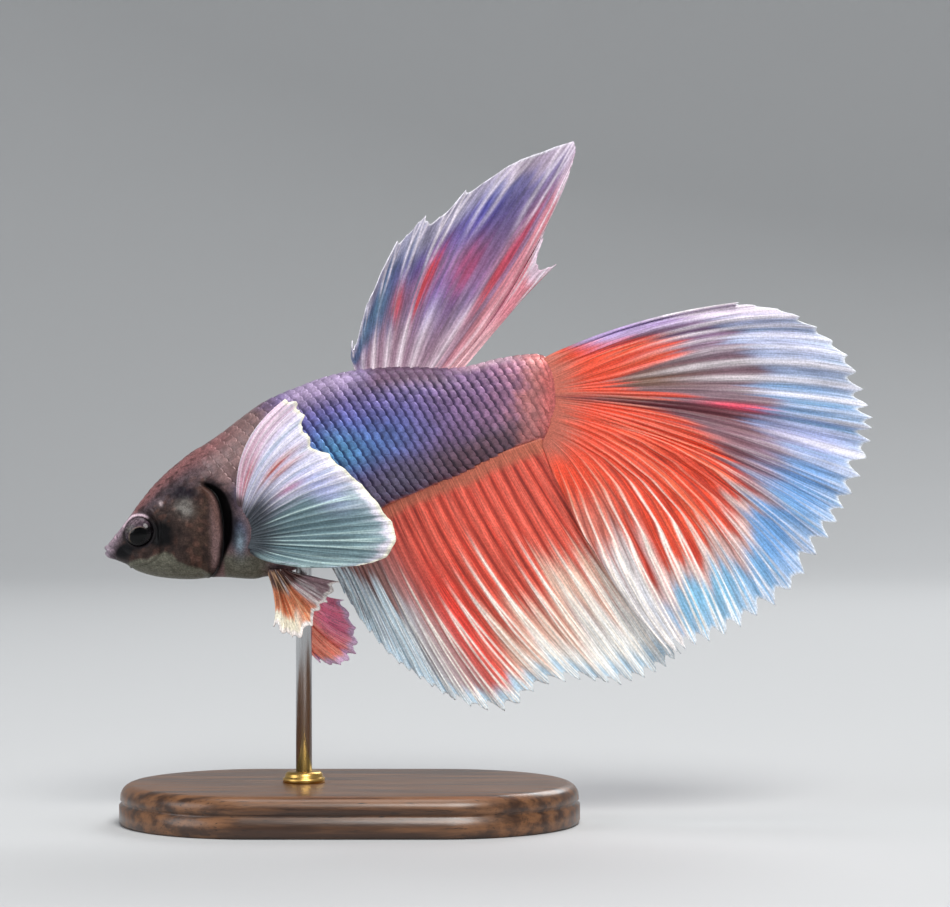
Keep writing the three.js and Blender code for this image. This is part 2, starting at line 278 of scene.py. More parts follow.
def round_at(radius):
    turns = np.radians(np.arange(0, 360, 7.5))
    return lambda inset: (ROD_X + (radius - inset) * np.cos(turns), (radius - inset) * np.sin(turns))


def edge_round(radius, height, steps=5):
    """The profile of a rounded upper edge that ends at that height."""
    turns = np.radians(np.linspace(0, 90, steps))
    return [(radius * (1 - math.cos(t)), height - radius * (1 - math.sin(t))) for t in turns]


# A profile's rows are how far the outline is drawn in, and the height.
base_profile = [(0.35, 0), (0.1, 0.12), (0, 0.4), (0, 1.9), (0.28, 2.05), (0.28, 2.3), (0.12, 2.42)]
base_profile += [(i + 0.12, h) for i, h in edge_round(1.3, BASE_HEIGHT, 8)] + [(3, BASE_HEIGHT)]
stand_base = turned_piece("stand_base_wood", base_profile, oval, walnut())
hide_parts("stand_base")

steel = brushed_metal("brushed_steel", ink("c4c6c8"), (9000, 9000, 60))
rod_profile = [(0, ROD_FOOT), (0, ROD_TOP - 1)] + edge_round(0.5, ROD_TOP)
stand_rod = turned_piece("stand_rod_steel", rod_profile, round_at(ROD_RADIUS), steel)
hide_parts("stand_rod")

brass = brushed_metal("turned_brass", ink("d9b063"), (60, 60, 9000))
collar_profile = [(0, BASE_HEIGHT), (0, BASE_HEIGHT + 0.45), (0.16, BASE_HEIGHT + 0.52)]
collar_profile += [(0.2 + i, h) for i, h in edge_round(0.45, BASE_HEIGHT + COLLAR_HEIGHT)]
collar_profile += [(COLLAR_RADIUS - ROD_RADIUS, BASE_HEIGHT + COLLAR_HEIGHT)]
stand_collar = turned_piece("stand_collar_brass", collar_profile, round_at(COLLAR_RADIUS), brass)
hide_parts("stand_collar")


# ---- Skin ---------------------------------------------------------------------------------
# One closed skin over the head, jaw, gill covers, trunk and stalk of the tail. It is modelled
# with its folds: lips, nostrils, sockets, the edge of each gill cover and the dark slit behind
# it. On the trunk it lies under the scales by their depth.
BODY_SECTIONS = [
    # place along X, height of the back, height of the belly, half the width
    (-24.5, 27.2, 27.2, 0),
    (-24.3, 27.65, 26.75, 0.85),
    (-23.6, 28.5, 26.3, 1.4),
    (-22.4, 30.0, 25.8, 1.9),
    (-21.1, 31.8, 25.05, 2.45),
    (-19.0, 34.3, 24.5, 3.15),
    (-16.0, 36.85, 24.27, 3.8),
    (-13.0, 38.85, 24.5, 4.0),
    (-9.0, 41.8, 24.35, 4.1),
    (-5.0, 43.6, 25.3, 4.05),
    (-1.0, 44.9, 27.9, 3.8),
    (3.5, 45.5, 31.2, 3.2),
    (7.0, 45.55, 32.8, 2.7),
    (11.0, 45.5, 34.4, 2.2),
    (15.0, 46.4, 36.4, 1.7),
    (18.0, 46.85, 37.9, 1.25),
    (19.5, 46.6, 38.1, 0.95),
    (20.4, 45.2, 39.2, 0.64),
    (21.3, 42.2, 42.2, 0),
]
LAST_SECTION = len(BODY_SECTIONS) - 1
TAIL_END = (21.3, 0, 42.2)
WIDEST_LEVEL = 0.52
BACK_ROUNDNESS, BELLY_ROUNDNESS = 0.95, 1.12
HEAD_END_SECTION = 7.5  # the head's share of the sections, which gets the finer mesh
HEAD_RINGS, TRUNK_RINGS, SKIN_SIDES = 220, 110, 280
SCALE_DEPTH = 0.12
EYE_X, EYE_Z, EYE_OPENING = -20.85, 29.05, 1.43
EYE_RIM = 2.21  # half the head's width at the socket's rim
EYE_SLOPE, EYE_LEAN = 0.24, 0.2  # the rim draws in towards the snout and towards the crown
# These lines are in X and Z. The mouth runs from the lips to its corner; the cheek fold, the
# gill cover's edge and the far side of the gap behind it run downwards; and the edge of the
# pale throat runs from the chin to the gills.
MOUTH_LINE = [(-24.75, 27.35), (-23.2, 26.3)]
NOSTRIL = (-23.2, 28.5)
CHEEK_LINE = [
    (-19.5, 31.4), (-18.7, 30.0), (-18.4, 28.2), (-18.7, 26.7), (-19.8, 25.9), (-21.6, 25.5),
]
GILL_EDGE = [
    (-14.9, 33.9), (-13.6, 33.1), (-12.9, 31.7), (-12.6, 29.7),
    (-12.6, 27.9), (-12.75, 26.3), (-13.3, 25.1), (-14.3, 24.25),
]
GAP_REAR = [
    (-14.4, 34.2), (-13.2, 33.8), (-12.2, 33.05), (-11.6, 31.8), (-11.35, 30.2),
    (-11.5, 28.4), (-12.15, 26.8), (-12.75, 25.6), (-13.3, 24.8), (-14.1, 24.1),
]
THROAT_LINE = [
    (-24, 25.9), (-22.0, 26.1), (-19.8, 26.55), (-18.5, 27.15),
    (-17.7, 27.05), (-17.0, 26.1), (-15.8, 25.7), (-13.6, 24.9),
]
THROAT_FOLDS = (24.85, 25.25, 25.65)  # their heights
CHEEK_SCALE = 0.8  # the size of the low scales on the cheek and crown


def rise(low, high, value):
    """A soft step from 0 at the low value to 1 at the high one."""
    share = np.clip((value - low) / (high - low), 0, 1)
    return share * share * (3 - 2 * share)


def fall(low, high, value):
    return 1 - rise(low, high, value)


def smooth_curve(rows, share):
    """Points of a curve that runs smoothly through the rows, from share 0 to 1."""
    rows = np.asarray(rows, float)
    last = len(rows) - 1
    place = np.clip(share, 0, 1) * last
    start = np.minimum(place.astype(int), last - 1)
    w = (place - start)[..., None]
    before, a = rows[np.maximum(start - 1, 0)], rows[start]
    b, after = rows[start + 1], rows[np.minimum(start + 2, last)]
    slope_a, slope_b = (b - before) / 2, (after - a) / 2
    cubic = (2 * a - 2 * b + slope_a + slope_b) * w**3
    square = (-3 * a + 3 * b - 2 * slope_a - slope_b) * w**2
    return cubic + square + slope_a * w + a


GILL_CURVE = smooth_curve(GILL_EDGE, np.linspace(0, 1, 22))
REAR_CURVE = smooth_curve(GAP_REAR, np.linspace(0, 1, 22))


def body_point(section, turn):
    """The body's surface. Turn is 0 on the back, pi on the belly, positive on the right side."""
    x, top, low, width = np.moveaxis(smooth_curve(BODY_SECTIONS, section / LAST_SECTION), -1, 0)
    middle = low + WIDEST_LEVEL * (top - low)
    up, out = np.cos(turn), np.sin(turn)
    roundness = np.where(up > 0, BACK_ROUNDNESS, BELLY_ROUNDNESS)
    y = width * np.sign(out) * np.abs(out) ** roundness
    z = middle + up * np.where(up > 0, top - middle, middle - low)
    return np.stack([x, y, z], axis=-1)


def unit(vectors):
    return vectors / np.maximum(np.linalg.norm(vectors, axis=-1, keepdims=True), 1e-9)


def body_normal(section, turn):
    step = 1e-3
    ahead = body_point(section + step, turn) - body_point(section - step, turn)
    around = body_point(section, turn + step) - body_point(section, turn - step)
    return unit(np.cross(ahead, around))


def from_line(x, z, line):
    """How far each point is from a line of points, which side of it, and its share of the way."""
    line = np.asarray(line, float)
    best = np.full(x.shape, 1e9)
    side = np.zeros(x.shape)
    share = np.zeros(x.shape)
    for i, (a, b) in enumerate(zip(line[:-1], line[1:])):
        run = b - a
        t = np.clip(((x - a[0]) * run[0] + (z - a[1]) * run[1]) / (run @ run), 0, 1)
        dx, dz = x - a[0] - t * run[0], z - a[1] - t * run[1]
        away = np.hypot(dx, dz)
        nearer = away < best
        best = np.where(nearer, away, best)
        side = np.where(nearer, np.sign(run[0] * dz - run[1] * dx), side)
        share = np.where(nearer, (i + t) / (len(line) - 1), share)
    return best, side, share


def hump(value, width):
    return np.exp(-((value / width) ** 2))


def turned(a, b, degrees):
    """Two distances, seen from axes turned from the first towards the second."""
    c, s = math.cos(math.radians(degrees)), math.sin(math.radians(degrees))
    return a * c + b * s, b * c - a * s


def patch(x, z, at_x, at_z, wide, high, tilt=0):
    """A soft oval spot, 1 at its middle. Tilt lifts its rear end, in degrees."""
    along, across = turned(x - at_x, z - at_z, tilt)
    return np.exp(-((along / wide) ** 2) - (across / high) ** 2)


rng = np.random.default_rng(7)
CLOUD = rng.random((64, 64))


def cloud(a, b):
    """Soft seeded noise from 0 to 1, with one blot to each unit."""
    i, j = np.floor(a).astype(int), np.floor(b).astype(int)
    s, t = rise(0, 1, a - i), rise(0, 1, b - j)
    near = CLOUD[i % 64, j % 64] * (1 - s) + CLOUD[(i + 1) % 64, j % 64] * s
    far = CLOUD[i % 64, (j + 1) % 64] * (1 - s) + CLOUD[(i + 1) % 64, (j + 1) % 64] * s
    return near * (1 - t) + far * t


def cells(x, z, size):
    """Domes of a scaled hide, from 0 in the gaps to 1 at each middle."""
    a, b = x / size, z / (0.8 * size)
    best = np.full(x.shape, 9.0)
    for row in (0, 1):
        da = a - 0.5 * row - np.round(a - 0.5 * row)
        db = (b - row) / 2 - np.round((b - row) / 2)
        best = np.minimum(best, np.hypot(da, 2 * db * 0.8))
    return fall(0.15, 0.62, best)


def gill_gap(x, z):
    """The dark opening behind the gill cover, as four values at each point: how far it is past
    the cover's edge and short of the gap's far side, 0 beyond either end, and 1 in the opening."""
    gill, side, share = from_line(x, z, GILL_CURVE)
    past = side * gill
    rear, behind, _ = from_line(x, z, REAR_CURVE)
    room = -behind * rear
    ends = rise(0, 0.1, share) * fall(0.9, 1, share)
    inside = ends * rise(-0.12, 0.16, past) * rise(-0.1, 0.3, room)
    return past, room, ends, inside


def body_level(x, z):
    """How far down the body a point lies, from 0 on the back to 1 on the belly."""
    section = np.interp(x, [row[0] for row in BODY_SECTIONS], np.arange(LAST_SECTION + 1))
    rows = smooth_curve(BODY_SECTIONS, section / LAST_SECTION)
    top, low = rows[..., 1], rows[..., 2]
    return (top - z) / np.maximum(top - low, 0.5)


def scaly(x, z):
    """1 where scales grow, and 0 on bare skin."""
    past, _, _, inside = gill_gap(x, z)
    flank = rise(0.2, 0.5, past) * (1 - inside) * (x > -14.2)
    nape = rise(0, 0.5, z - 34.0 - 0.25 * (x + 15)) * rise(-15.8, -14.2, x)
    bare_belly = rise(0.955, 0.985, body_level(x, z)) * rise(-2.5, -1.5, x)
    bare_breast = fall(-9.4, -8.6, x) * fall(31.0, 31.7, z)
    return np.maximum(flank, nape) * (1 - np.maximum(bare_belly, bare_breast)) * fall(19.5, 20.3, x)


def relief(x, z, flat):
    """How far the skin stands out from the plain body; flat is 1 where it faces sideways."""
    out = np.zeros(x.shape)
    # The lips and the mouth between them, and the nostril's pit in its raised ring.
    mouth, above, share = from_line(x, z, MOUTH_LINE)
    lips = fall(0.5, 0.98, share)
    above = above * mouth
    out += lips * (0.12 * hump(above - 0.3, 0.2) + 0.16 * hump(above + 0.32, 0.22))
    out -= 0.26 * fall(0.75, 1.0, share) * hump(above, 0.1)
    out -= 0.05 * hump(above - 0.66, 0.12) * lips
    pit = np.hypot(x - NOSTRIL[0], z - NOSTRIL[1])
    out += 0.06 * hump(pit - 0.24, 0.1) - 0.22 * hump(pit, 0.12)
    # The cheek fold, the gill cover's raised edge, the gap behind it and the throat's folds.
    cheek, behind, _ = from_line(x, z, CHEEK_LINE)
    out += 0.1 * hump(cheek - 0.25, 0.2) * (behind < 0) - 0.13 * hump(cheek, 0.11)
    past, room, ends, inside = gill_gap(x, z)
    out += 0.3 * ends * rise(-1.6, -0.2, past) * fall(-0.14, 0.1, past)
    room = np.clip(room, 0, None)
    share_in = room / (room + np.clip(past, 0.05, None))
    out -= 0.9 * inside * share_in**0.7 * rise(0, 0.8, room + past)
    for fold in THROAT_FOLDS:
        out -= 0.05 * hump(z - fold, 0.09) * rise(-20.5, -19, x) * fall(-14.6, -13.9, x)
    # Small low scales on the cheek and crown, a rough hide, and the pectoral fin's muscle.
    head = (past < 0) | (x < -15)
    scaled = np.maximum(rise(-18.6, -17.8, x) * (z > 25.6), rise(30.5, 31.8, z))
    clear_of_eye = np.hypot(x - EYE_X, z - EYE_Z) > 2.2
    bare = 1 - scaly(x, z)
    out += 0.045 * cells(x, z, CHEEK_SCALE) * scaled * head * clear_of_eye * bare
    out += 0.06 * (cloud(x * 1.7, z * 1.7) - 0.5) * flat * bare
    return out + 0.35 * patch(x, z, -10.6, 28.6, 0.9, 1.7)


def skin_mesh():
    head = np.linspace(0, HEAD_END_SECTION, HEAD_RINGS + 1)[1:]
    trunk = np.linspace(HEAD_END_SECTION, LAST_SECTION, TRUNK_RINGS + 1)[1:-1]
    turn = 2 * math.pi * np.arange(SKIN_SIDES) / SKIN_SIDES
    section, turn = np.meshgrid(np.concatenate([head, trunk]), turn, indexing="ij")
    plain = body_point(section, turn)
    x, y, z = np.moveaxis(plain, -1, 0)
    sideways = np.abs(np.sin(turn))
    out = relief(x, z, sideways**1.5) - SCALE_DEPTH * scaly(x, z)
    points = plain + body_normal(section, turn) * out[..., None]
    # Each eye's socket: a leaning rim with a raised lid round it, and a floor sunk inside.
    eye = np.hypot(x - EYE_X, z - EYE_Z)
    rim = EYE_RIM + EYE_SLOPE * (x - EYE_X) - EYE_LEAN * (z - EYE_Z)
    rim += (0.04 + 0.07 * rise(-1, 0.6, z - EYE_Z)) * hump(eye - EYE_OPENING - 0.2, 0.14)
    rim -= 0.6 * fall(EYE_OPENING - 0.2, EYE_OPENING + 0.08, eye)
    orbit = fall(EYE_OPENING + 0.28, EYE_OPENING + 1.08, eye) * rise(0, 0.6, sideways)
    points[..., 1] += orbit * (rim * np.sign(y) - points[..., 1])
    points = points.reshape(-1, 3)
    points = np.concatenate([points, [points[:SKIN_SIDES].mean(axis=0), TAIL_END]])
    return section, points, [face[::-1] for face in ring_faces(len(section), SKIN_SIDES)]


def skin_uv(section, faces):
    """Each corner's place on the flattened skin. A face across the seam runs on past 1."""
    along = np.append(section / LAST_SECTION, [0, 1])
    around = np.append(np.tile(np.arange(SKIN_SIDES) / SKIN_SIDES, len(section)), [0.5, 0.5])
    corners = []
    for face in faces:
        turns = [around[i] for i in face]
        wraps = max(turns) - min(turns) > 0.6
        corners += [(along[i], turn + (wraps and turn < 0.3)) for i, turn in zip(face, turns)]
    return corners


def new_paint(across, up, base):
    """A coat of one colour, a way to lay others over it, and soft spots for their masks."""
    paint = np.zeros((*across.shape, 3)) + ink(base)

    def over(colour, mask):
        paint[:] += (ink(colour) - paint) * np.clip(mask, 0, 1)[..., None]

    def spot(*place):
        return patch(across, up, *place)

    return paint, over, spot


def body_paint(x, y, z):
    """The markings that skin and scales share."""
    level = body_level(x, z)
    blot = cloud(x * 0.9 + 9, (z + y) * 0.9)
    fine = cloud(x * 2.7 + 5, (z + y) * 2.7 + 3)
    ragged = (blot - 0.5) * 1.2 + (fine - 0.5) * 0.8
    # The flank, violet with a blue shoulder and rosy towards the tail, and a dark belly.
    paint, over, spot = new_paint(x, z, "695985")
    over("5a5c9c", spot(-1.0, 38.9, 9.5, 2.9, 8) * (0.75 + 0.5 * fine))
    over("5276b2", spot(0.0, 37.0, 6.0, 2.1, 14))
    over("5a95bd", 0.8 * spot(-1.0, 37.0, 2.4, 1.8, -20))
    over("7c5f82", rise(5, 13, x + ragged))
    over("9b6c82", rise(12, 18, x + ragged))
    over("655f7a", rise(0.62, 0.84, level + 0.03 * ragged))
    over("654a58", rise(4, 12, x + ragged) * rise(0.6, 0.8, level))
    over("60485f", fall(0.08, 0.22, level) * rise(0, 3, x) * fall(8, 12, x))
    over("b293a2", fall(0.01, 0.1, level) * rise(9, 13, x))
    over("9a88a8", fall(0.04, 0.2, level) * rise(-8, -5, x) * fall(-1, 3, x))
    over("b0604c", rise(0.955, 0.985, level + 0.01 * ragged) * rise(-2, 0, x))
    over("aa6c6c", rise(15.6, 18.4, x + ragged))
    over("b76260", rise(18.2, 20.0, x + 0.5 * ragged))
    # The nape and crown, brown-grey with a rosy ridge.
    over("785f5e", fall(-10, -5, x + 0.4 * (z - 40) + ragged))
    over("4d4045", fall(-16, -12, x - 0.3 * (z - 36) + ragged))
    rosy = fall(0.03, 0.2, level) * rise(-22.5, -21, x) * fall(-14, -10, x)
    over("865a5a", 0.9 * rosy)
    # The face.
    face = fall(-14.2, -13.2, x)
    over("3a2e2b", face * rise(0.2, 0.36, level + 0.05 * ragged))
    over("41312a", face * rise(-17.5, -14, x) * rise(0.3, 0.45, level))
    over("66483f", 0.55 * face * rise(0.5, 0.9, fine) * rise(0.16, 0.3, level))
    over("211819", 0.6 * face * rise(0.55, 0.85, cloud(x * 2.1, (z + y) * 2.1 + 21)))
    over("7c6c76", fall(-23.6, -22.2, x + 0.3 * (27.8 - z)))
    # A painted highlight, pale pinkish grey, along the ridge of the snout.
    snout_ridge_highlight = fall(0.08, 0.3, level + 0.05 * ragged) * fall(-22.0, -21.2, x)
    over("a48f9b", 0.75 * snout_ridge_highlight * (0.55 + 0.7 * fine))
    over("19121b", 1.3 * spot(-16.4, 32.9, 1.4, 0.75) * (0.6 + fine))
    over("74706c", 1.6 * spot(-16.1, 31.4, 0.75, 0.85, 60) * (0.2 + 1.2 * fine))
    over("a8989a", 1.4 * spot(-18.6, 31.9, 0.18, 0.22))
    over("050406", 2.0 * spot(-18.7, 28.9, 1.4, 1.25) * (0.6 + 0.7 * fine))
    # Painted shade, near black, on the jaw behind the corner of the mouth.
    over("09090d", 1.6 * spot(-22.3, 27.2, 1.3, 0.7, 30))
    # The pale lips at the snout's tip: partly their own colour and partly a painted highlight.
    over("9a8c98", 1.4 * spot(-24.4, 27.0, 0.55, 0.75))
    # The dark ring round each eye, the pale brow above it, and the inside of the socket painted near black
    # as shade.
    eye = np.hypot(x - EYE_X, z - EYE_Z)
    lean = np.degrees(np.arctan2(z - EYE_Z, x - EYE_X)) % 360
    brow = rise(50, 75, lean) * fall(150, 185, lean) * rise(1.0, 1.8, np.abs(y))
    over("141013", 1.05 * fall(EYE_OPENING + 0.05, EYE_OPENING + 0.5, eye) * (1 - brow))
    over("cdb6c2", 1.1 * hump(eye - EYE_OPENING - 0.26, 0.13) * brow)
    # Painted shade, near black, on the socket's wall inside its rim.
    over("0a080b", fall(EYE_OPENING - 0.16, EYE_OPENING - 0.02, eye))
    # The pale throat and breast, the gill cover's brown rim with a painted highlight, and the opening
    # behind it in painted shade.
    throat, above, _ = from_line(x, z, THROAT_LINE)
    under = rise(-0.15, 0.25, -above * throat + 0.3 * ragged) * (x < -13.4)
    over("68675b", under * rise(-23.2, -21.8, x))
    past, room, ends, inside = gill_gap(x, z)
    # A painted highlight, rusty brown, along the raised edge of the gill cover, fading out lower down.
    over("55392f", 0.6 * ends * hump(past + 0.3, 0.4) * rise(27.5, 30.5, z))
    breast = rise(-12.6, -12.2, x) * fall(-9.0, -6.5, x) * fall(26.3, 27.4, z)
    over("66655a", breast)
    over("43485a", 1.2 * spot(-10.8, 29.0, 1.0, 1.9))
    over("8496a4", 1.2 * spot(-10.75, 28.0, 0.42, 1.0))
    over("5c587a", 0.8 * spot(-10.6, 32.9, 0.8, 1.2) * (0.5 + fine))
    # A painted shadow in the gap and past its far side, fading out lower down.
    shadow = ends * rise(0.0, 0.4, past) * rise(-1.1, 0.1, room + 0.5 * (fine - 0.5))
    shadow *= rise(26.2, 28.6, z)
    over("0c0a12", 0.9 * shadow)
    # The gap's dark membrane together with the shade inside it, painted near black.
    over("020203", 1.2 * inside)
    # A painted line of shade along the lower part of the cover's edge.
    over("0b0a0c", 0.95 * ends * hump(past - 0.05, 0.3) * fall(27, 29, z))
    belly = rise(-9, -6.5, x) * fall(-1, 1, x) * rise(0.86, 0.93, level)
    over("6d5a60", belly)
    return paint


def kept(tree, mark, output="Fac"):
    """A mark kept at the mesh's points."""
    return lay(tree, "Attribute", {}, attribute_name=mark).outputs[output]


def mottled(tree, shade, fleck, low, high, dark, light):
    """A colour made darker where a value is low and lighter where it is high."""
    return mixed(tree, 1.0, shade, ranged(tree, fleck, low, high, dark, light), "MULTIPLY")


def fish_skin():
    material, tree, shader = new_finish("fish_skin")
    place = in_place(tree)
    shade = kept(tree, "marking", "Color")
    shade = mottled(tree, shade, noise(tree, place, 1500, 5, 0.7), 0.32, 0.68, 0.78, 1.2)
    grain = noise(tree, place, 4200, 3)
    fill(tree, shader, {
        "Base Color": mottled(tree, shade, noise(tree, place, 5200, 3, 0.7), 0.36, 0.66, 0.72, 1.25),
        "Roughness": ranged(tree, grain, 0.3, 0.7, 0.34, 0.5),
        "Normal": bump(tree, grain, 0.05, 0.5),
        "Specular IOR Level": 0.12,
        "Coat Weight": 0.03,
        "Coat Roughness": 0.25,
    })
    return material


skin_section, skin_points, skin_faces = skin_mesh()
skin_marking = body_paint(*skin_points.T)
skin_corners = skin_uv(skin_section, skin_faces)
skin = make_piece("fish_skin", skin_points, skin_faces, fish_skin(), skin_corners, marking=skin_marking)
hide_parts("head", "lower_jaw", "gill_cover_left", "gill_cover_right", "trunk", "tail_stalk")


# ---- Scales -------------------------------------------------------------------------------
# Thin round-ended scales in rows along the flanks, each with its front end sunk in the skin
# under the two before it and its rear edge a little proud. Rows lie a fixed way down from the
# back and run out at the root of the anal fin.
SCALE_PITCH = 0.96  # along a row
ROW_STEP = 0.78  # down the flank
SCALE_HALF = 0.5  # half a scale's height
SCALE_SLANT = 0.54  # how far the rear edge runs back for each millimetre down
SCALE_FRONT = -0.64  # where a scale's hidden front end lies
SCALE_ROWS, SCALE_COLUMNS = 9, 8
SCALE_EDGE = 0.17  # how far its rear rim turns down
FLANK_ROWS = 24
FLANK_SECTIONS = (0.5, 17.97)  # the sections that the rows are laid out between
WAY_STEP, DEEPEST_WAY = 0.1, 18  # down the flank, for the tables below


def row_grid():
    """Tables that turn a place along the rows and down the flank into section and turn."""
    section = np.linspace(*FLANK_SECTIONS, 600)
    turn = np.linspace(0, math.pi, 181)
    grid = body_point(*np.meshgrid(section, turn, indexing="ij"))
    down = np.linalg.norm(np.diff(grid[..., 1:], axis=1), axis=-1)
    down = np.concatenate([np.zeros((len(section), 1)), np.cumsum(down, axis=1)], axis=1)
    ways = np.arange(0, DEEPEST_WAY, WAY_STEP)
    turns = np.array([np.interp(ways, row, turn) for row in down])
    upper_line = grid[:, len(turn) // 3]
    run = np.concatenate([[0], np.cumsum(np.linalg.norm(np.diff(upper_line, axis=0), axis=1))])
    return section, turns, down[:, -1], run


def on_flank(table, run_at, way):
    """Section and turn at a place along the rows and a way down from the middle of the back."""
    section, turns, _, run = table
    index = np.interp(run_at, run, np.arange(len(section)))
    low = np.minimum(index.astype(int), len(section) - 2)
    column = np.clip(np.abs(way) / WAY_STEP, 0, turns.shape[1] - 1.001)
    left = column.astype(int)
    a, b = index - low, column - left
    turn = (turns[low, left] * (1 - b) + turns[low, left + 1] * b) * (1 - a)
    turn = turn + (turns[low + 1, left] * (1 - b) + turns[low + 1, left + 1] * b) * a
    return np.interp(index, np.arange(len(section)), section), turn * np.sign(way)


def rear_edge(down):
    """A scale's rear edge: how far behind its root it lies, at a way down from its middle."""
    return 0.53 + SCALE_SLANT * down - 0.26 * np.abs(down / SCALE_HALF) ** 2.6


def scale_roots(table):
    """Each scale's place along the rows and down the flank, row by row."""
    _, _, total, run = table
    roots = []
    for row in range(FLANK_ROWS):
        way = (row + 0.5) * ROW_STEP
        places = np.arange(0.5 * SCALE_PITCH * (row % 2), run[-1], SCALE_PITCH)
        ways = np.full(len(places), way)
        root_x, _, root_z = body_point(*on_flank(table, places, ways)).T
        front_x, _, front_z = body_point(*on_flank(table, places + SCALE_FRONT, ways)).T
        room = np.minimum(scaly(root_x, root_z), scaly(front_x, front_z))
        grown = room > rng.uniform(0.35, 0.75, len(places))
        keep = grown & (way < np.interp(places, run, total) - 0.2)
        roots += [(place, way) for place in places[keep]]
    return np.array(roots)


def scale_mesh():
    """Points and faces, then for each point how far it lies behind the edge of the scale in
    front, its scale's tone, and its place on the map."""
    table = row_grid()
    roots = scale_roots(table)
    # One scale, by how far its points lie behind its root, below it and out from the flank.
    i = np.linspace(0, 1, SCALE_ROWS)[:, None]
    down = SCALE_HALF * np.linspace(-1, 1, SCALE_COLUMNS)[None, :]
    front = SCALE_FRONT + SCALE_SLANT * down
    back = front + (rear_edge(down) - front) * i
    height = 0.045 - 0.14 * (rear_edge(down) - back) - 0.045 * (down / SCALE_HALF) ** 2
    height = height + 0.03 * np.sin(math.pi * i)
    sunk = np.broadcast_to((1 - i) ** 2, back.shape)
    gap = back + SCALE_PITCH - rear_edge(down)
    gap = np.minimum(gap, 0.3 + 2.2 * np.clip(0.44 - np.abs(down), 0, None))
    back, gap, sunk = (np.concatenate([each, each[-1:]]) for each in (back, gap, sunk))
    height = np.concatenate([height, height[-1:] - SCALE_EDGE])
    down = np.broadcast_to(down, back.shape)
    # All of them, calmer towards the nape and the tail.
    section, turn = on_flank(table, roots[:, 0, None, None] + back, roots[:, 1, None, None] + down)
    plain = body_point(section, turn)
    calm = (0.3 + 0.7 * rise(-11, -6, plain[..., 0])) * (1 - 0.8 * rise(14.5, 19.5, plain[..., 0]))
    tilt = rng.uniform(-0.01, 0.01, (len(roots), 1, 1))
    height = height * calm - (0.05 + 0.12 * sunk) * (1 - calm) + tilt
    points = plain + body_normal(section, turn) * height[..., None]
    rows, columns = back.shape
    quads = np.array([
        (r * columns + c, r * columns + c + 1, (r + 1) * columns + c + 1, (r + 1) * columns + c)
        for r in range(rows - 1)
        for c in range(columns - 1)
    ])
    right = np.concatenate([quads[:, ::-1] + n * rows * columns for n in range(len(roots))])
    left = right[:, ::-1] + points[..., 0].size
    points = np.concatenate([points, points * (1, -1, 1)])
    gap = np.broadcast_to(gap, (len(points), rows, columns))
    tone = np.broadcast_to(rng.random((len(points), 1, 1)), gap.shape)
    # Each scale keeps a small square of the map, at its root's place on the flattened flank.
    root_section, root_turn = on_flank(table, *roots.T)
    home = np.stack([root_section / LAST_SECTION, root_turn / (2 * math.pi)], -1)
    home = np.concatenate([home, home * (1, -1) + (0, 1)])
    ends, wide = np.linspace(-0.5, 0.5, rows), np.linspace(-0.5, 0.5, columns)
    local = np.stack(np.meshgrid(ends, wide, indexing="ij"), -1)
    uv = (home[:, None, None] + 0.003 * local).reshape(-1, 2)
    return points.reshape(-1, 3), np.concatenate([right, left]), gap.ravel(), tone.ravel(), uv


def line_pigment_and_shade_strength(x, z):
    """How dark the lines between scales are, as dark pigment and painted shade under the scale in front:
    strong on the flank, faint towards head and tail.
    """
    strong = rise(-11.5, -7.5, x) * (1 - 0.75 * rise(14.5, 18.5, x))
    return strong * (0.3 + 0.7 * rise(0.04, 0.16, body_level(x, z))) * 0.8 + 0.12 * (1 - strong)


def fish_scale():
    material, tree, shader = new_finish("fish_scale")
    place = in_place(tree)
    shade = mottled(tree, kept(tree, "marking", "Color"), kept(tree, "tone"), 0.0, 1.0, 1.0, 1.4)
    shade = mottled(tree, shade, noise(tree, place, 1100, 4, 0.7), 0.35, 0.65, 0.78, 1.15)
    shade = mottled(tree, shade, noise(tree, place, 5200, 2), 0.35, 0.7, 0.88, 1.2)
    # The lines between scales: dark violet pigment, together with painted shade under the edge of the scale
    # in front.
    deep = mixed(tree, 1.0, shade, ink("544874"), "MULTIPLY")
    grain = noise(tree, place, 6000, 2)
    fill(tree, shader, {
        "Base Color": mixed(tree, kept(tree, "line"), shade, deep),
        "Roughness": ranged(tree, grain, 0.3, 0.7, 0.3, 0.45),
        "Normal": bump(tree, grain, 0.03, 0.4),
        "Metallic": 0.2,
        "Specular IOR Level": 0.4,
        "Coat Weight": 0.12,
        "Coat Roughness": 0.2,
    })
    return material


scale_points, scale_faces, scale_gap, scale_tone, scale_uv = scale_mesh()
scale_x, scale_y, scale_z = scale_points.T
scales = make_piece(
    "flank_scales",
    scale_points,
    scale_faces.tolist(),
    fish_scale(),
    scale_uv[scale_faces.ravel()],
    marking=body_paint(scale_x, scale_y, scale_z),
    # Darkest just behind the rear edge of the scale in front: dark pigment and painted shade there.
    line=fall(0.2, 0.48, scale_gap) * line_pigment_and_shade_strength(scale_x, scale_z),
    tone=scale_tone,
)


# ---- Eyes ---------------------------------------------------------------------------------
# A flattened ball in each socket: a black pupil, drawn out a little forwards and down, in a
# narrow grey-mauve iris with a thin bright ring, under a clear wet cornea.
EYE_RINGS, EYE_SIDES = 60, 72
EYEBALL_RADIUS, EYEBALL_DEPTH = 1.64, 1.06
EYEBALL_SEAT = 1.7  # from the middle of the head to the ball's middle
EYE_AIM, EYE_RAISE = 14, 11  # degrees that it is turned forwards and up
PUPIL_X, PUPIL_Z, PUPIL_LONG, PUPIL_HIGH, PUPIL_TILT = 0.2, -0.48, 0.93, 0.7, 28


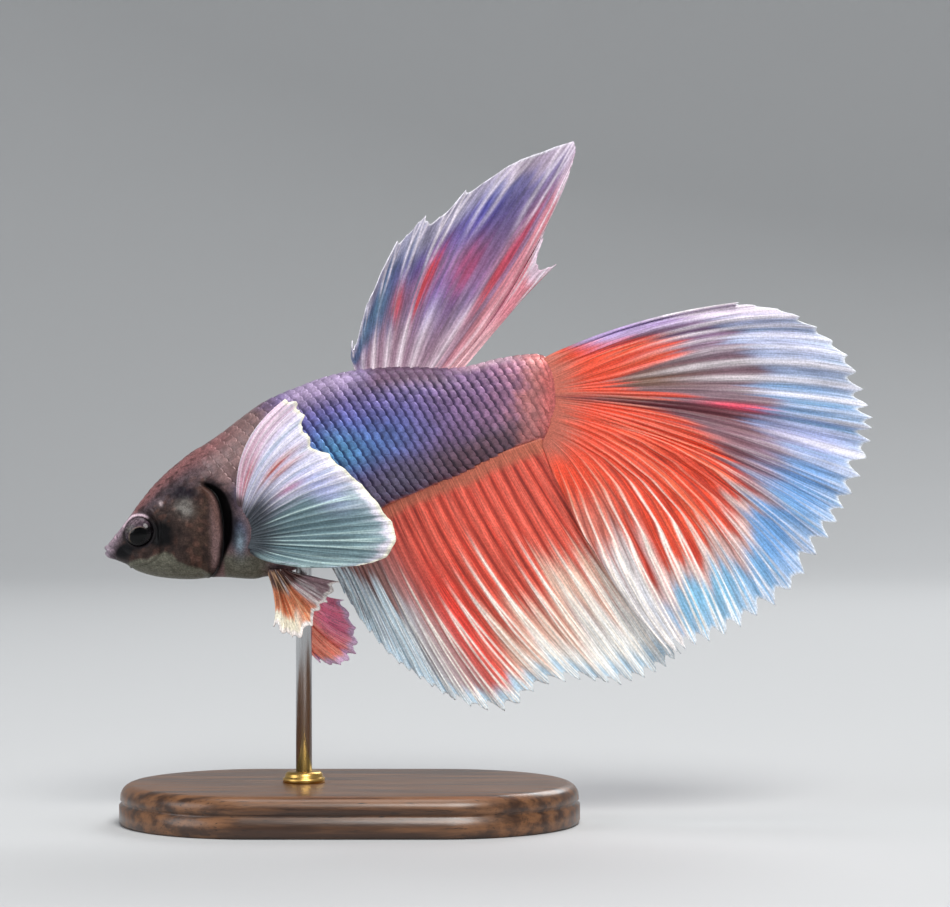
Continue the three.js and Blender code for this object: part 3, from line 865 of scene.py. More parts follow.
def eye_finish():
    material, tree, shader = new_finish("fish_eye")
    place = in_place(tree)
    shade = kept(tree, "marking", "Color")
    fill(tree, shader, {
        "Base Color": mottled(tree, shade, noise(tree, place, 4500, 3), 0.35, 0.7, 0.55, 1.5),
        "Roughness": ranged(tree, noise(tree, place, 3000, 2), 0.3, 0.7, 0.2, 0.32),
        "Specular IOR Level": 0.03,
        "Coat Weight": 0.5,
        "Coat Roughness": 0.02,
        "Coat IOR": 1.38,
    })
    return material


def eye_mesh(way_out):
    """An eyeball on the left, -1, or the right, 1, and each point's place across its face."""
    lean = np.linspace(0, math.pi, EYE_RINGS + 2)[1:-1, None]
    turn = 2 * math.pi * np.arange(EYE_SIDES)[None] / EYE_SIDES
    ball = np.stack([np.sin(lean) * np.cos(turn), np.sin(lean) * np.sin(turn), np.cos(lean) + 0 * turn], -1)
    ball = np.concatenate([ball.reshape(-1, 3), [[0, 0, 1], [0, 0, -1]]])
    across, up, out = (ball * (EYEBALL_RADIUS, EYEBALL_RADIUS, EYEBALL_DEPTH)).T
    high, aimed = turned(up, out, EYE_RAISE)
    deep, along = turned(aimed, across, EYE_AIM)
    points = np.stack([EYE_X + along, way_out * (EYEBALL_SEAT + deep), EYE_Z + high], -1)
    faces = ring_faces(EYE_RINGS, EYE_SIDES)
    if way_out < 0:
        faces = [face[::-1] for face in faces]
    return points, faces, across, up


def eye_paint(x, z):
    long, high = turned(x - PUPIL_X, z - PUPIL_Z, PUPIL_TILT)
    pupil = np.hypot(long / PUPIL_LONG, high / PUPIL_HIGH)
    paint, over, spot = new_paint(x, z, "453942")
    over("66585f", spot(-0.28, 0.88, 1.0, 0.38, 25))
    over("504e4a", spot(-0.88, 0.1, 0.45, 0.33, 40))
    over("0c090c", rise(-0.2, 0.6, x * 0.7 - z))
    over("80715f", 0.6 * hump(pupil - 1.1, 0.06) * rise(-0.9, 0.2, z - x))
    over("010102", fall(0.98, 1.05, pupil))
    over("0a080a", rise(1.32, 1.44, np.hypot(x, z)))
    return paint


wet_eye = eye_finish()
for side, way_out in (("left", -1), ("right", 1)):
    ball_points, ball_faces, ball_x, ball_z = eye_mesh(way_out)
    marking = eye_paint(ball_x, ball_z)
    eyeball = make_piece("eyeball_" + side, ball_points, ball_faces, wet_eye, marking=marking)
    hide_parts("eye_" + side)


# ---- Fins ---------------------------------------------------------------------------------
# Every fin is a thin membrane between bony rays that fork twice on the way out. The rays stand
# proud on both faces, the root thickens into the body, and the rim is cut into points where
# the rays end and hollows between them.
ROOT_HALF, RIM_HALF = 0.15, 0.045  # half the membrane's thickness
# What holds for a fin that doesn't say otherwise. A place u runs along its base and v out to
# the rim, both from 0 to 1. Each fin's own table adds its outline and these: count, the points
# of its rim, and how deep they are (notch); where its rays fork; the depth of its pleats; how
# the flesh at its root flares out; and the side, which is how far it bends across, in Y.
PLAIN_FIN = {
    "columns": 16,  # the mesh's columns to each point of the rim
    "rays_per_point": 1,
    "scallop": 1.3,  # a higher number makes the hollows of the rim narrower
    "barbs": 1,  # how large the small teeth on its points are
    "torn": lambda u: 1,  # how deep the rim is cut
    "smooth": lambda u, v: 0,  # where the rays don't stand proud
    "gathered": lambda u, v: u,  # the place at the rim of the ray that passes a point
}


def along_base(base, share):
    """Points a given share of the way along a fin's base line."""
    dense = smooth_curve(base, np.linspace(0, 1, 401))
    run = np.concatenate([[0], np.cumsum(np.linalg.norm(np.diff(dense, axis=0), axis=1))])
    at = np.clip(share, 0, 1) * run[-1]
    return np.stack([np.interp(at, run, dense[:, 0]), np.interp(at, run, dense[:, 1])], axis=-1)


def fin_sheet(fin, u, v):
    """The fin's middle surface: u runs along the base, v from the base to the rim."""
    place, aim, length, bow = smooth_curve(fin["rays"], u).T
    root = along_base(fin["base"], place)
    aim = np.radians(aim)
    out = np.stack([np.cos(aim), np.sin(aim)], axis=-1)
    tip = root + out * length[:, None]
    bend = (root + tip) / 2 + np.stack([-out[:, 1], out[:, 0]], axis=-1) * (bow * length)[:, None]
    along = u * fin["count"]
    hollow = np.abs(np.sin(math.pi * along)) ** fin["scallop"]
    hollow *= 0.5 + cloud(np.floor(along) * 1.7, 0 * u)
    barb = 0.2 * np.abs(np.sin(2.5 * math.pi * along)) + 0.3 * cloud(along * 2.3, 0 * u)
    cut = (hollow + barb * fin["barbs"]) * fin["notch"] * fin["torn"](u) / length
    reach = (v[None] * (1 - cut[:, None]))[..., None]
    flat = (1 - reach) ** 2 * root[:, None] + 2 * reach * (1 - reach) * bend[:, None]
    flat = flat + reach**2 * tip[:, None]
    grid_u, grid_v = np.meshgrid(u, v, indexing="ij")
    return np.stack([flat[..., 0], fin["side"](grid_u, grid_v), flat[..., 1]], axis=-1)


def ray_ridge(q, v, fork):
    """1 on the line of a ray and 0 on the membrane. q counts the rays, and each forks twice."""
    off = q - np.round(q)
    first = 0.15 * rise(fork, fork + 0.3, v)
    second = 0.09 * rise(fork + 0.35, fork + 0.55, v)
    width = 0.1 - 0.05 * rise(fork, fork + 0.5, v)
    ridge = np.zeros(q.shape)
    for one in (-1, 1):
        for two in (-1, 1):
            ridge = np.maximum(ridge, hump(off - one * first - two * second, width))
    return ridge


def both_faces(value):
    """What holds along a column of the sheet, out on one face and back on the other."""
    return np.concatenate([value, value[:, ::-1]], axis=1)


def fin_faces(rows, columns):
    """Quads round the closed strip, out along one face and back along the other, and its ends."""
    around = 2 * (rows + 1)
    c, r = np.meshgrid(np.arange(columns), np.arange(around), indexing="ij")
    here, after = c * around + r, c * around + (r + 1) % around
    sides = np.stack([here, here + around, after + around, after], -1).reshape(-1, 4)
    up = np.arange(rows)
    down = around - 1 - up
    first = np.stack([up, up + 1, down - 1, down], -1)
    return np.concatenate([sides, first, first[:, ::-1] + columns * around])


def make_fin(name, fin, paint, finish, mirrored=False):
    """A fin with two faces, laid out by its table on either side of its middle surface."""
    fin = {**PLAIN_FIN, **fin}
    rows, columns = fin["rows"], fin["count"] * fin["columns"]
    u, v = np.linspace(0, 1, columns + 1), np.linspace(0, 1, rows + 1)
    sheet = fin_sheet(fin, u, v)
    grid_u, grid_v = np.meshgrid(u, v, indexing="ij")
    gathered = fin["gathered"](grid_u, grid_v)
    q = gathered * fin["count"] * fin["rays_per_point"]
    # The rays fade out where they crowd together and in the flesh at the root.
    crowding = np.gradient(q, axis=0) * (columns / q[-1, -1])
    clear = fall(1.6, 3.2, crowding) * rise(0, fin["flesh"], grid_v)
    ridge = ray_ridge(q, grid_v, fin["fork"]) * clear * (1 - fin["smooth"](gathered, grid_v))
    sheet[..., 1] -= fin["pleat"] * grid_v**0.7 * np.cos(2 * math.pi * q) * clear
    sheet[..., 1] += 0.1 * grid_v * (cloud(q * 0.31 + 3, grid_v * 3) - 0.5)
    normal = unit(np.cross(np.gradient(sheet, axis=0), np.gradient(sheet, axis=1)))
    flare = fin["flare"] * (0.35 + 0.65 * np.sin(math.pi * grid_u) ** 0.7)
    half = ROOT_HALF + (RIM_HALF - ROOT_HALF) * grid_v + flare * np.exp(-grid_v * fin["flare_drop"])
    half = half + ridge * (0.09 - 0.05 * grid_v)
    faces_apart = normal * half[..., None]
    points = np.concatenate([sheet + faces_apart, (sheet - faces_apart)[:, ::-1]], axis=1)
    quads = fin_faces(rows, columns)
    if mirrored:
        points = points * (1, -1, 1)
        quads = quads[:, ::-1]
    places = np.stack([np.concatenate([grid_u, grid_u], axis=1), both_faces(grid_v)], -1)
    piece = make_piece(
        name,
        points.reshape(-1, 3),
        quads.tolist(),
        finish,
        places.reshape(-1, 2)[quads.ravel()],
        marking=both_faces(paint(gathered, grid_v, q, ridge)).reshape(-1, 3),
        lie_q=both_faces(q).ravel(),
        lie_v=both_faces(grid_v).ravel(),
        ridge=both_faces(ridge).ravel(),
    )
    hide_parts(name.replace("_membrane", ""))


def fin_finish(name, streak=0.3):
    material, tree, shader = new_finish(name)
    lie = lay(tree, "CombineXYZ", {0: kept(tree, "lie_q"), 1: kept(tree, "lie_v")}).outputs[0]
    fibre = noise(tree, stretched(tree, lie, (9, 6, 1)), 1.0, 3, 0.6)
    shade = kept(tree, "marking", "Color")
    shade = mottled(tree, shade, fibre, 0.3, 0.7, 1 - streak, 1 + streak)
    joints = noise(tree, stretched(tree, lie, (0.6, 90, 1)), 1.0, 0)
    segments = lay(tree, "Math", {0: joints, 1: kept(tree, "ridge")}, operation="MULTIPLY").outputs[0]
    height = lay(tree, "Math", {0: fibre, 1: segments}, operation="ADD").outputs[0]
    fill(tree, shader, {
        "Base Color": mottled(tree, shade, noise(tree, in_place(tree), 5200, 2), 0.3, 0.7, 0.86, 1.13),
        "Roughness": ranged(tree, fibre, 0.3, 0.7, 0.34, 0.5),
        "Normal": bump(tree, height, 0.05, 0.5),
        "Specular IOR Level": 0.3,
    })
    return material


# ---- Dorsal fin ---------------------------------------------------------------------------
# A tall narrow sail of membrane rooted in the back and swept to the rear, with few broad points
# at its rim. It is steel blue in front, with crimson streaks in the middle, and rose behind.
DORSAL = {
    "base": [(0.5, 45.0), (11.0, 45.0)],
    # place along the base, degrees from level, length, bow
    "rays": [
        (0.0, 93, 3.4, 0.11), (0.08, 86, 7.2, 0.07), (0.17, 79, 13.6, 0.09), (0.29, 75, 16.6, 0.09),
        (0.4, 69, 19.7, 0.1), (0.52, 62, 24.1, 0.1), (0.71, 58, 27.2, 0.0), (0.86, 58, 23.4, -0.07),
        (0.93, 56, 16.4, -0.07), (1.0, 48, 14.7, 0.04),
    ],
    "count": 9,
    "columns": 30,
    "rows": 110,
    "notch": 1.5,
    "scallop": 0.75,
    "torn": lambda u: 1 - 0.75 * rise(0.42, 0.54, u) * fall(0.82, 0.9, u),
    "fork": 0.45,
    "pleat": 0.12,
    "flare": 0.5,
    "flare_drop": 22,
    "flesh": 0.03,
    "side": lambda u, v: -0.9 * v * v + 0.45 * v * np.sin(2 * math.pi * 5 * u),
}


def streaked(q, v):
    """Ragged noise that runs along the rays, from -0.5 to 0.5."""
    return 0.6 * cloud(q * 1.3 + 7, v * 2) + 0.4 * cloud(q * 4.1, v * 5 + 3) - 0.5


def frayed(q, v):
    """Finer streaks along the rays, from -0.5 to 0.5."""
    return 0.55 * cloud(q * 2.1 + 11, v * 1.5) + 0.45 * cloud(q * 6.3, v * 3 + 5) - 0.5


def crest(q):
    """1 along each ray's line, falling softly to 0 halfway between two rays."""
    return 0.5 + 0.5 * np.cos(2 * math.pi * q)


def ray_tone(q):
    """Each ray's own number from 0 to 1."""
    return cloud(np.round(q) * 1.7, 0 * q)


def dorsal_paint(u, v, q, ridge):
    rag, fray = streaked(3 * q, v), frayed(2.5 * q, v)
    blot = 0.35 + 2.2 * (fray + 0.25)
    paint, over, spot = new_paint(u, v, "7c7394")
    over("a9899c", fall(0.12, 0.4, v + 0.3 * rag) * rise(0.05, 0.2, u))
    over("5b6c8e", rise(0.25, 0.45, v + 0.3 * rag) * fall(0.3, 0.45, u))
    over("557894", spot(0.2, 0.58, 0.1, 0.14))
    over("7465a6", spot(0.57, 0.34, 0.09, 0.16) * blot)
    over("8a8cc8", 0.7 * spot(0.58, 0.84, 0.08, 0.09) * blot)
    over("4648a0", 1.2 * spot(0.55, 0.7, 0.09, 0.12) * blot)
    over("65589a", spot(0.42, 0.66, 0.13, 0.12) * blot)
    over("b9505f", 1.1 * spot(0.35, 0.45, 0.045, 0.14) * blot)
    over("c2424c", 1.2 * spot(0.47, 0.47, 0.045, 0.17) * blot)
    over("bc4a6c", 1.1 * spot(0.6, 0.47, 0.035, 0.13) * blot)
    over("c3444f", 1.2 * spot(0.69, 0.5, 0.03, 0.24) * blot)
    over("5f4a72", 0.7 * spot(0.64, 0.62, 0.05, 0.2) * blot)
    over("c87c88", rise(0.7, 0.78, u + 0.15 * rag))
    over("e2acb2", rise(0.72, 0.82, u) * fall(0.25, 0.6, v + 0.2 * rag))
    over("b56a8e", 0.7 * spot(0.85, 0.45, 0.05, 0.2) * blot)
    over("b8b4c8", 0.7 * rise(0.7, 0.9, v + 0.3 * rag) * fall(0.5, 0.6, u))
    over("d2c0d2", 0.8 * rise(0.84, 0.97, v + 0.2 * rag) * rise(0.45, 0.6, u))
    own = 0.4 + 0.8 * ray_tone(2 * q)
    pale = ridge**1.5 * (0.15 + 0.3 * fall(0.2, 0.35, v) + 0.85 * rise(0.55, 0.8, v))
    over("e6dce6", pale * own)
    broad = crest(q) ** 1.5 * fall(0.14, 0.4, v + 0.25 * rag) * fall(0.62, 0.8, u)
    over("dccfd8", 0.8 * broad * own)
    over("65485c", 0.5 * (1 - crest(q)) * fall(0.25, 0.5, v))
    over("453a66", 0.3 * (1 - crest(q)) * rise(0.3, 0.5, v) * fall(0.68, 0.76, u))
    over("e2e0ea", rise(0.98, 1.0, v) * fall(0.6, 0.7, u))
    return paint


make_fin("dorsal_fin_membrane", DORSAL, dorsal_paint, fin_finish("dorsal_membrane"))


# ---- Anal fin -----------------------------------------------------------------------------
# A deep curtain of membrane rooted along the whole underside, red at the root, with cream rays
# and a pale rim. Its rear swings to the right, clear of the tail's lower lobe.
ANAL = {
    "base": [
        (-2.8, 27.3), (-1.0, 28.4), (3.5, 31.7), (7.0, 33.3), (11.0, 34.9), (15.0, 36.9), (19.1, 38.4),
    ],
    "rays": [
        (0.0, -63, 5.1, 0.07), (0.03, -65, 9.5, 0.06), (0.08, -65, 13.5, 0.02), (0.13, -63, 17.0, -0.01),
        (0.2, -62, 20.6, -0.04), (0.3, -59, 24.0, -0.08), (0.43, -55, 23.7, -0.11),
        (0.59, -55, 24.9, -0.09), (0.74, -57, 26.7, -0.06), (0.88, -57, 26.9, -0.03),
        (1.0, -57, 25.9, -0.02),
    ],
    "count": 28,
    "rows": 96,
    "notch": 0.6,
    "barbs": 0.7,
    "torn": lambda u: 1 + 0.6 * rise(0.3, 0.5, u),
    "fork": 0.45,
    "pleat": 0.08,
    "flare": 0.6,
    "flare_drop": 16,
    "flesh": 0.07,
    "side": lambda u, v: v * rise(0.55, 1, u) + 0.25 * v * np.sin(2 * math.pi * 9 * u),
}


def between_rays(q):
    """1 halfway between two rays, and 0 over the middle half of each."""
    return rise(0.24, 0.5, np.abs(q - np.round(q)))


def anal_paint(u, v, q, ridge):
    rag, fray = streaked(q, v), frayed(q, v)
    own = ray_tone(q)
    valley = between_rays(q)
    paint, over, spot = new_paint(u, v, "e04e3a")
    over("c04a3d", fall(0.42, 0.66, u + 0.1 * rag))
    over("7d5650", fall(0.34, 0.52, u + 0.15 * rag))
    # A lighter red along each pleat's crest, as a painted highlight.
    over("e0796a", 0.5 * crest(q) * rise(0.4, 0.6, u))
    # Maroon between the rays: partly dark streaks and partly painted shade in the pleats' valleys.
    maroon_and_valley_shade = 0.75 * valley * fall(0.45, 0.75, v) + 0.3 * rise(0, 0.3, -fray)
    over("7a2a26", maroon_and_valley_shade * rise(0.25, 0.5, u))
    over("dc3426", (0.6 + own) * spot(0.545, 0.62, 0.045, 0.26))
    over("dc3426", 0.8 * rise(0.1, 0.3, fray) * spot(0.7, 0.45, 0.12, 0.2))
    over("b4644f", 0.95 * fall(0.035, 0.075, v + 0.02 * rag))
    front = fall(0.4, 0.5, u + 0.1 * rag) * rise(0.3, 0.55, v + 0.5 * rag + 0.7 * (0.3 - u))
    over("b6cad6", front)
    over("807886", front * 0.65 * rise(0.0, 0.3, fray))
    over("ac9da0", 0.9 * spot(0.43, 0.75, 0.07, 0.4))
    ends = np.interp(u, [0.5, 0.56, 0.64, 0.76, 0.88, 1], [0.86, 0.8, 0.64, 0.56, 0.47, 0.42])
    rear = rise(0.54, 0.6, u) * rise(-0.1, 0.14, v - ends + 0.4 * fray + 0.1 * rag)
    over("e2c4b2", 0.9 * rear)
    over("c49484", 0.7 * rear * rise(0.04, 0.25, -fray) * fall(0.8, 0.92, v))
    over("e4e4e2", rise(0.12, 0.34, v - ends + 0.4 * fray) * rise(0.5, 0.62, u))
    over("b0c8da", rise(0.88, 0.97, v + 0.1 * fray))
    pale = ridge**1.5 * rise(0.34, 0.58, v + 0.4 * (own - 0.5)) * rise(0.3, 0.42, u)
    over("f8f1e8", pale * (0.7 + 0.6 * own))
    # Painted shade, red-brown, in the valleys between the rays towards the rim of the rear half.
    furrow = valley * rise(0.5, 0.7, v) * fall(0.75, 0.9, v) * rise(0.5, 0.6, u)
    over("a0564a", 0.6 * furrow * (1 - 0.5 * rise(0.1, 0.3, v - ends)))
    dark = crest(q) ** 2 * fall(0.42, 0.5, u) * fall(0.8, 0.9, v)
    over("5f4a54", 0.5 * dark * own)
    over("e8eef0", 0.7 * ridge**2 * front)
    over("dfe6ea", rise(0.985, 1.0, v))
    return paint


make_fin("anal_fin_membrane", ANAL, anal_paint, fin_finish("anal_membrane"))


# ---- Tail fin -----------------------------------------------------------------------------
# The half-moon tail, a fan of some thirty rays that gather towards the middle of its root: red
# inside, grey-mauve and lilac above, sky blue outside, with white rays and rim.
# Rays that end at these shares of the rim start at these shares of the root.
GATHERED_AT_RIM = [-0.05, 0.0, 0.12, 0.2, 0.42, 0.51, 0.67, 0.74, 0.8, 0.9, 0.99, 1.2]
GATHERED_AT_ROOT = [-0.1, 0.02, 0.25, 0.3, 0.36, 0.4, 0.46, 0.53, 0.62, 0.76, 0.87, 1.15]


def tail_gathered(u, v):
    rim, root = np.array(GATHERED_AT_RIM), np.array(GATHERED_AT_ROOT)
    found = np.empty(u.shape)
    for j, level in enumerate(v[0]):
        here = rim + (root - rim) * (1 - level) ** 2
        found[:, j] = np.interp(u[:, j], here, rim)
    return found


TAIL = {
    "base": [(19.2, 46.3), (20.0, 44.4), (20.1, 42.1), (20.0, 39.8), (19.2, 37.9)],
    "rays": [
        (0.0, 16, 20.5, 0.08), (0.09, 11, 25.9, 0.11), (0.22, 4, 29.9, 0.15), (0.36, -3, 31.9, 0.06),
        (0.51, -7, 32.4, 0.05), (0.64, -15, 31.3, 0.07), (0.72, -23, 30.2, 0.12), (0.81, -34, 29.2, 0.16),
        (0.88, -45, 27.5, 0.2), (0.96, -53.5, 25.6, 0.08), (1.0, -58.5, 24.8, -0.1),
    ],
    "count": 30,
    "rows": 100,
    "notch": 0.65,
    "barbs": 0.5,
    "torn": lambda u: 1 + 0.75 * rise(0.12, 0.3, u),
    "fork": 0.5,
    "pleat": 0.11,
    "flare": 0.5,
    "flare_drop": 10,
    "flesh": 0.17,
    "gathered": tail_gathered,
    "smooth": lambda u, v: 0.75 * fall(0.38, 0.5, u) * rise(0.25, 0.5, v),
    "side": lambda u, v: -1.1 * v * rise(0.4, 1, u)
    + v * (0.7 - 0.45 * u) * np.sin(2 * math.pi * 8 * u),
}


def tail_paint(g, v, q, ridge):
    """g is the place at the rim of the ray that passes each point."""
    rag, fray = streaked(q, v), frayed(q, v)
    own = ray_tone(q)
    upper = fall(0.42, 0.52, g)
    paint, over, spot = new_paint(g, v, "e24c32")
    over("ee7450", 0.6 * rise(0.02, 0.3, fray) * rise(0.1, 0.3, v))
    over("ac3229", 0.6 * rise(0.02, 0.3, -fray) * rise(0.1, 0.3, v))
    over("ba6656", fall(0.02, 0.16, v + 0.1 * rag))
    # Grey-mauve beyond the red in the upper lobe, and a maroon band through the middle.
    places = [0, 0.08, 0.19, 0.23, 0.28, 0.34, 0.38, 0.4, 0.44, 0.5, 0.6, 0.72, 0.86, 0.93, 1]
    ends = [0.14, 0.4, 0.46, 0.16, 0.22, 0.32, 0.28, 0.12, 0.34, 0.48, 0.62, 0.74, 0.76, 0.72, 0.6]
    beyond = rise(-0.05, 0.09, v - np.interp(g, places, ends) + 0.24 * rag + 0.2 * fray)
    over("7c6470", beyond)
    over("dcc0b4", beyond * rise(0.66, 0.8, g))
    over("74543f", 0.9 * beyond * spot(0.25, 0.3, 0.05, 0.18))
    over("83688f", 0.9 * beyond * spot(0.12, 0.56, 0.07, 0.16))
    over("63303a", 1.3 * spot(0.405, 0.37, 0.036, 0.34))
    over("8e5048", 0.8 * spot(0.37, 0.2, 0.04, 0.1))
    over("84505a", 0.8 * beyond * spot(0.54, 0.62, 0.1, 0.12))
    over("e4506a", 1.3 * spot(0.362, 0.6, 0.016, 0.11))
    # Outside: grey-blue above, lilac, sky blue, and a paler sea blue below.
    places = [0, 0.2, 0.4, 0.55, 0.7, 0.82, 0.92, 1]
    blue_start = np.interp(g, places, [0.7, 0.68, 0.7, 0.7, 0.75, 0.78, 0.74, 0.8])
    outer = rise(-0.06, 0.1, v - blue_start + 0.2 * rag + 0.16 * fray)
    over("6c9cd2", outer)
    over("b6bad6", outer * fall(0.22, 0.36, g + 0.1 * rag))
    over("7a98be", 0.9 * outer * spot(0.32, 0.82, 0.08, 0.2))
    over("b4b2da", 0.8 * outer * spot(0.43, 0.86, 0.045, 0.24))
    over("7aa6de", 0.8 * outer * spot(0.51, 0.9, 0.04, 0.2))
    over("987e92", 0.8 * spot(0.5, 0.72, 0.1, 0.07))
    over("86bcdc", outer * rise(0.66, 0.82, g))
    over("6d96b6", 0.6 * outer * rise(0.05, 0.3, -fray))
    halo = hump(v - blue_start + 0.2 * rag + 0.16 * fray, 0.055) * rise(0.56, 0.68, g)
    over("deb6aa", 0.8 * halo)
    over("c0cfe4", 0.4 * rise(0.88, 1.0, v + 0.2 * fray))
    # Lilac upper edge and pale lower corner.
    edge = fall(0.03, 0.09, g + 0.05 * rag - 0.03 * v)
    over("ae97c6", edge * rise(0.1, 0.3, v))
    over("ddd0de", edge * rise(0.55, 0.72, v))
    corner = rise(0.88, 0.97, g + 0.12 * fray)
    over("c87a6c", 0.8 * corner * rise(0.2, 0.4, v + 0.1 * rag))
    over("d8d4d6", corner * rise(0.42, 0.66, v + 0.3 * fray))
    # Painted highlights along the broad soft crests of the upper lobe's folds, thin pale rays over the red,
    # white ones outside.
    chosen = rise(0.25, 0.6, own)
    start = np.interp(g, [0, 0.2, 0.24, 0.3, 0.36, 0.42], [0.4, 0.16, 0.2, 0.5, 0.64, 0.62])
    # A painted highlight along each fold's crest in the upper lobe.
    broad = crest(q) ** 1.8 * upper * rise(0, 0.3, v - start) * (0.35 + 0.65 * chosen)
    over("eae3e8", 0.72 * broad)
    thin = ridge**2
    inner = rise(0.08, 0.3, v) * (0.1 + 0.55 * own + 0.4 * rise(0.72, 0.88, g)) * (1 - beyond)
    over("f6ae96", thin * inner)
    rim_side = rise(-0.2, 0.1, v - blue_start) * (1 - 0.75 * upper)
    rim_side = rim_side * (1 - 0.7 * spot(0.56, 0.8, 0.1, 0.3))
    over("f6f0f2", thin * rim_side * (0.35 + 0.7 * own))
    over("fbf4ec", thin * rise(0.72, 0.88, g) * rise(0.25, 0.5, v))
    valley = between_rays(q)
    # Darker between the rays, maroon over the red and a deeper blue outside: partly their own colour and
    # partly painted shade in the pleats' valleys.
    maroon_and_valley_shade = 0.6 * valley * (1 - outer) * rise(0.12, 0.32, v)
    over("66201f", maroon_and_valley_shade * (0.3 + own) * (1 - 0.7 * beyond))
    over("5f87ae", 0.3 * valley * outer * (1 - 0.5 * upper))
    over("eef2f8", rise(0.985, 1.0, v))
    return paint


make_fin("tail_fin_membrane", TAIL, tail_paint, fin_finish("tail_membrane"))


# ---- Pectoral fins ------------------------------------------------------------------------
# A rounded fan of soft membrane set in the breast behind each gill cover and held away from the
# flank: lilac-white in front with rosy streaks, smoky teal behind, and a cream rim.
PECTORAL = {
    "base": [(-10.7, 30.4), (-9.9, 27.4)],
    "rays": [
        (0.0, 68, 12.7, 0.3), (0.09, 61, 13.2, 0.24), (0.21, 52, 11.4, 0.19), (0.32, 36, 11.6, 0.16),
        (0.46, 24, 12.6, 0.11), (0.59, 12, 14.0, 0.06), (0.72, 3, 15.0, 0.01), (0.84, -5, 13.8, -0.01),
        (0.96, -10, 9.7, -0.12), (1.0, -15, 4.3, -0.16),
    ],
    "count": 13,
    "columns": 20,
    "rows": 70,
    "rays_per_point": 2,
    "notch": 0.4,
    "torn": lambda u: 0.35 + 1.7 * rise(0.02, 0.1, u) * fall(0.14, 0.4, u),
    "fork": 0.6,
    "pleat": 0.05,
    "flare": 0.35,
    "flare_drop": 14,
    "flesh": 0.16,
    "side": lambda u, v: -2.8 - 5.0 * np.sin(1.9 * v) - 0.25 * v * np.sin(2 * math.pi * 6 * u),
}


def pectoral_paint(u, v, q, ridge):
    rag, fray = streaked(q, v), frayed(q, v)
    own = ray_tone(q)
    paint, over, spot = new_paint(u, v, "6a858d")
    over("56646c", fall(0.15, 0.4, v + 0.2 * rag))
    over("8aa0a4", rise(0.7, 0.95, u) * rise(0.3, 0.6, v))
    over("4a5a5e", 0.7 * rise(0.0, 0.3, -fray) * fall(0.6, 0.85, v))
    front = fall(0.3, 0.46, u + 0.16 * rag - 0.1 * v)
    over("d0cde6", front)
    over("e8cade", fall(0.08, 0.16, u))
    over("a5b4cc", 0.8 * front * rise(0.02, 0.3, -fray))
    over("cf8290", 1.2 * spot(0.115, 0.33, 0.022, 0.19))
    over("e0a2b4", 0.8 * spot(0.05, 0.3, 0.03, 0.3))
    over("c65a4e", 1.2 * spot(0.235, 0.62, 0.012, 0.2))
    over("c65a4e", 1.1 * spot(0.27, 0.66, 0.009, 0.18))
    over("c98cae", 0.9 * spot(0.36, 0.55, 0.02, 0.16))
    over("a9b0dc", 0.9 * spot(0.42, 0.74, 0.1, 0.12))
    over("4c5260", 0.9 * spot(0.36, 0.2, 0.12, 0.2))
    over("98a8b4", rise(0.8, 0.98, v + 0.2 * fray) * rise(0.4, 0.5, u))
    pale = ridge**1.5 * fall(0.85, 0.97, v) * rise(0.08, 0.25, v)
    over("c0d8d6", pale * rise(0.3, 0.75, own) * rise(0.4, 0.5, u))
    over("f4f0f6", 0.6 * ridge * front)
    dark = (1 - crest(q)) * own * rise(0.4, 0.5, u) * fall(0.6, 0.85, v)
    over("22323a", 0.7 * dark * (1 - 0.7 * rise(0.78, 0.92, u)))
    over("41484f", fall(0.1, 0.28, v + 0.15 * rag) * rise(0.1, 0.24, u))
    over("5c4c50", fall(0.13, 0.22, v) * fall(0.1, 0.24, u))
    over("3c4048", 0.8 * spot(0.36, 0.22, 0.1, 0.12) * (0.6 + own))
    band = rise(0.9, 0.955, v + 0.08 * fray) * rise(0.22, 0.34, u) * fall(0.72, 0.88, u)
    over("e6e0ee", 0.9 * band)
    over("f2efdd", rise(0.96, 0.985, v) * fall(0.85, 0.95, u))
    return paint


pectoral_skin = fin_finish("pectoral_membrane", streak=0.22)
for side, mirrored in (("left", False), ("right", True)):
    piece_name = "pectoral_fin_" + side + "_membrane"
    make_fin(piece_name, PECTORAL, pectoral_paint, pectoral_skin, mirrored)


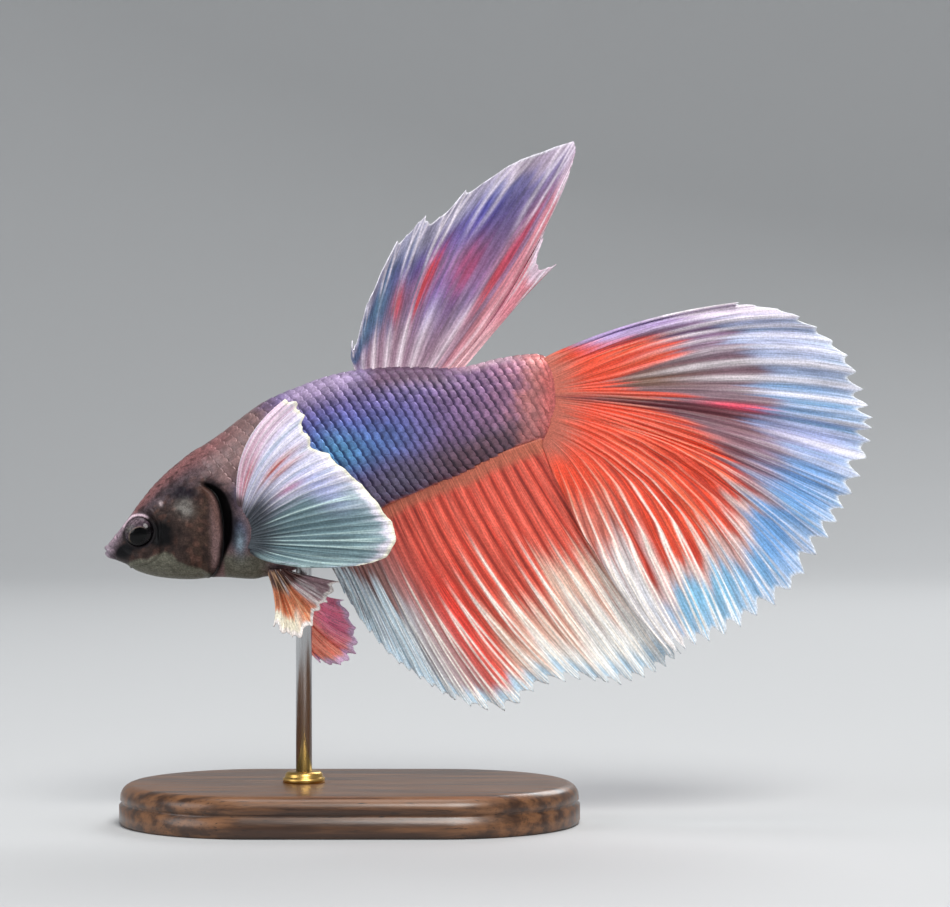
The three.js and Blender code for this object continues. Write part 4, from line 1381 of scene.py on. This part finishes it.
# ---- Pelvic fins --------------------------------------------------------------------------
# A pair of short folded fins under the breast: the left orange with cream tips, the right a
# longer rosy one with lilac tips, swung back past it.
PELVIC = {
    "base": [(-8.2, 25.2), (-6.2, 25.2)],
    "count": 8,
    "rows": 50,
    "notch": 0.5,
    "fork": 0.45,
    "pleat": 0.1,
    "flare": 0.35,
    "flare_drop": 9,
    "flesh": 0.05,
}
PELVIC_LEFT = {
    **PELVIC,
    "rays": [
        (0.1, -84, 5.6, 0.16), (0.2, -74, 6.8, 0.11), (0.35, -65, 7.3, 0.08),
        (0.6, -45, 5.9, -0.04), (0.8, -29, 5.6, -0.06), (1.0, -11, 5.5, -0.03),
    ],
    "side": lambda u, v: -1.7 - 1.6 * v - 0.35 * v * np.sin(2 * math.pi * 3 * u),
}
PELVIC_RIGHT = {
    **PELVIC,
    "rays": [
        (0.05, -62, 10.8, -0.17), (0.15, -56, 11.8, -0.17), (0.3, -50, 12.0, -0.16),
        (0.5, -44, 11.2, -0.2), (0.7, -37, 9.0, -0.22), (0.95, -29, 6.5, -0.23),
    ],
    "side": lambda u, v: 1.7 + 1.3 * v + 0.35 * v * np.sin(2 * math.pi * 3 * u),
}


def pelvic_left_paint(u, v, q, ridge):
    rag, fray = streaked(q, v), frayed(q, v)
    paint, over, spot = new_paint(u, v, "f28e62")
    over("a08288", rise(0.55, 0.7, u + 0.15 * rag))
    over("e0d4d4", rise(0.0, 0.2, fray) * rise(0.5, 0.68, u))
    over("5a3a36", fall(0.26, 0.44, v + 0.1 * rag))
    over("e4d8d4", rise(0.1, 0.28, fray) * fall(0.36, 0.5, v))
    over("8a4a3a", 0.35 * (1 - crest(q)) * fall(0.55, 0.7, u) * rise(0.2, 0.4, v))
    over("f8c8a0", 0.6 * ridge * fall(0.5, 0.65, u))
    over("f6f0dc", rise(0.68, 0.8, v + 0.25 * fray) * fall(0.35, 0.5, u))
    over("f0e8e4", rise(0.9, 0.96, v))
    return paint


def pelvic_right_paint(u, v, q, ridge):
    rag, fray = streaked(q, v), frayed(q, v)
    paint, over, spot = new_paint(u, v, "fb947e")
    over("ff90b4", rise(0.35, 0.7, u + 0.1 * rag) * rise(0.4, 0.7, v))
    over("8c4a40", fall(0.25, 0.5, v + 0.1 * rag + 0.2 * (u - 0.5)))
    over("9a4440", 0.08 * (1 - crest(q)) + 0.06 * rise(0, 0.3, -fray))
    over("fcb8a0", 0.55 * ridge * fall(0.4, 0.8, u))
    over("f0a0b8", 0.5 * ridge * rise(0.4, 0.8, u))
    over("e8c4e6", rise(0.9, 0.97, v + 0.05 * rag))
    return paint


pelvic_skin = fin_finish("pelvic_membrane")
make_fin("pelvic_fin_left_membrane", PELVIC_LEFT, pelvic_left_paint, pelvic_skin)
make_fin("pelvic_fin_right_membrane", PELVIC_RIGHT, pelvic_right_paint, pelvic_skin)
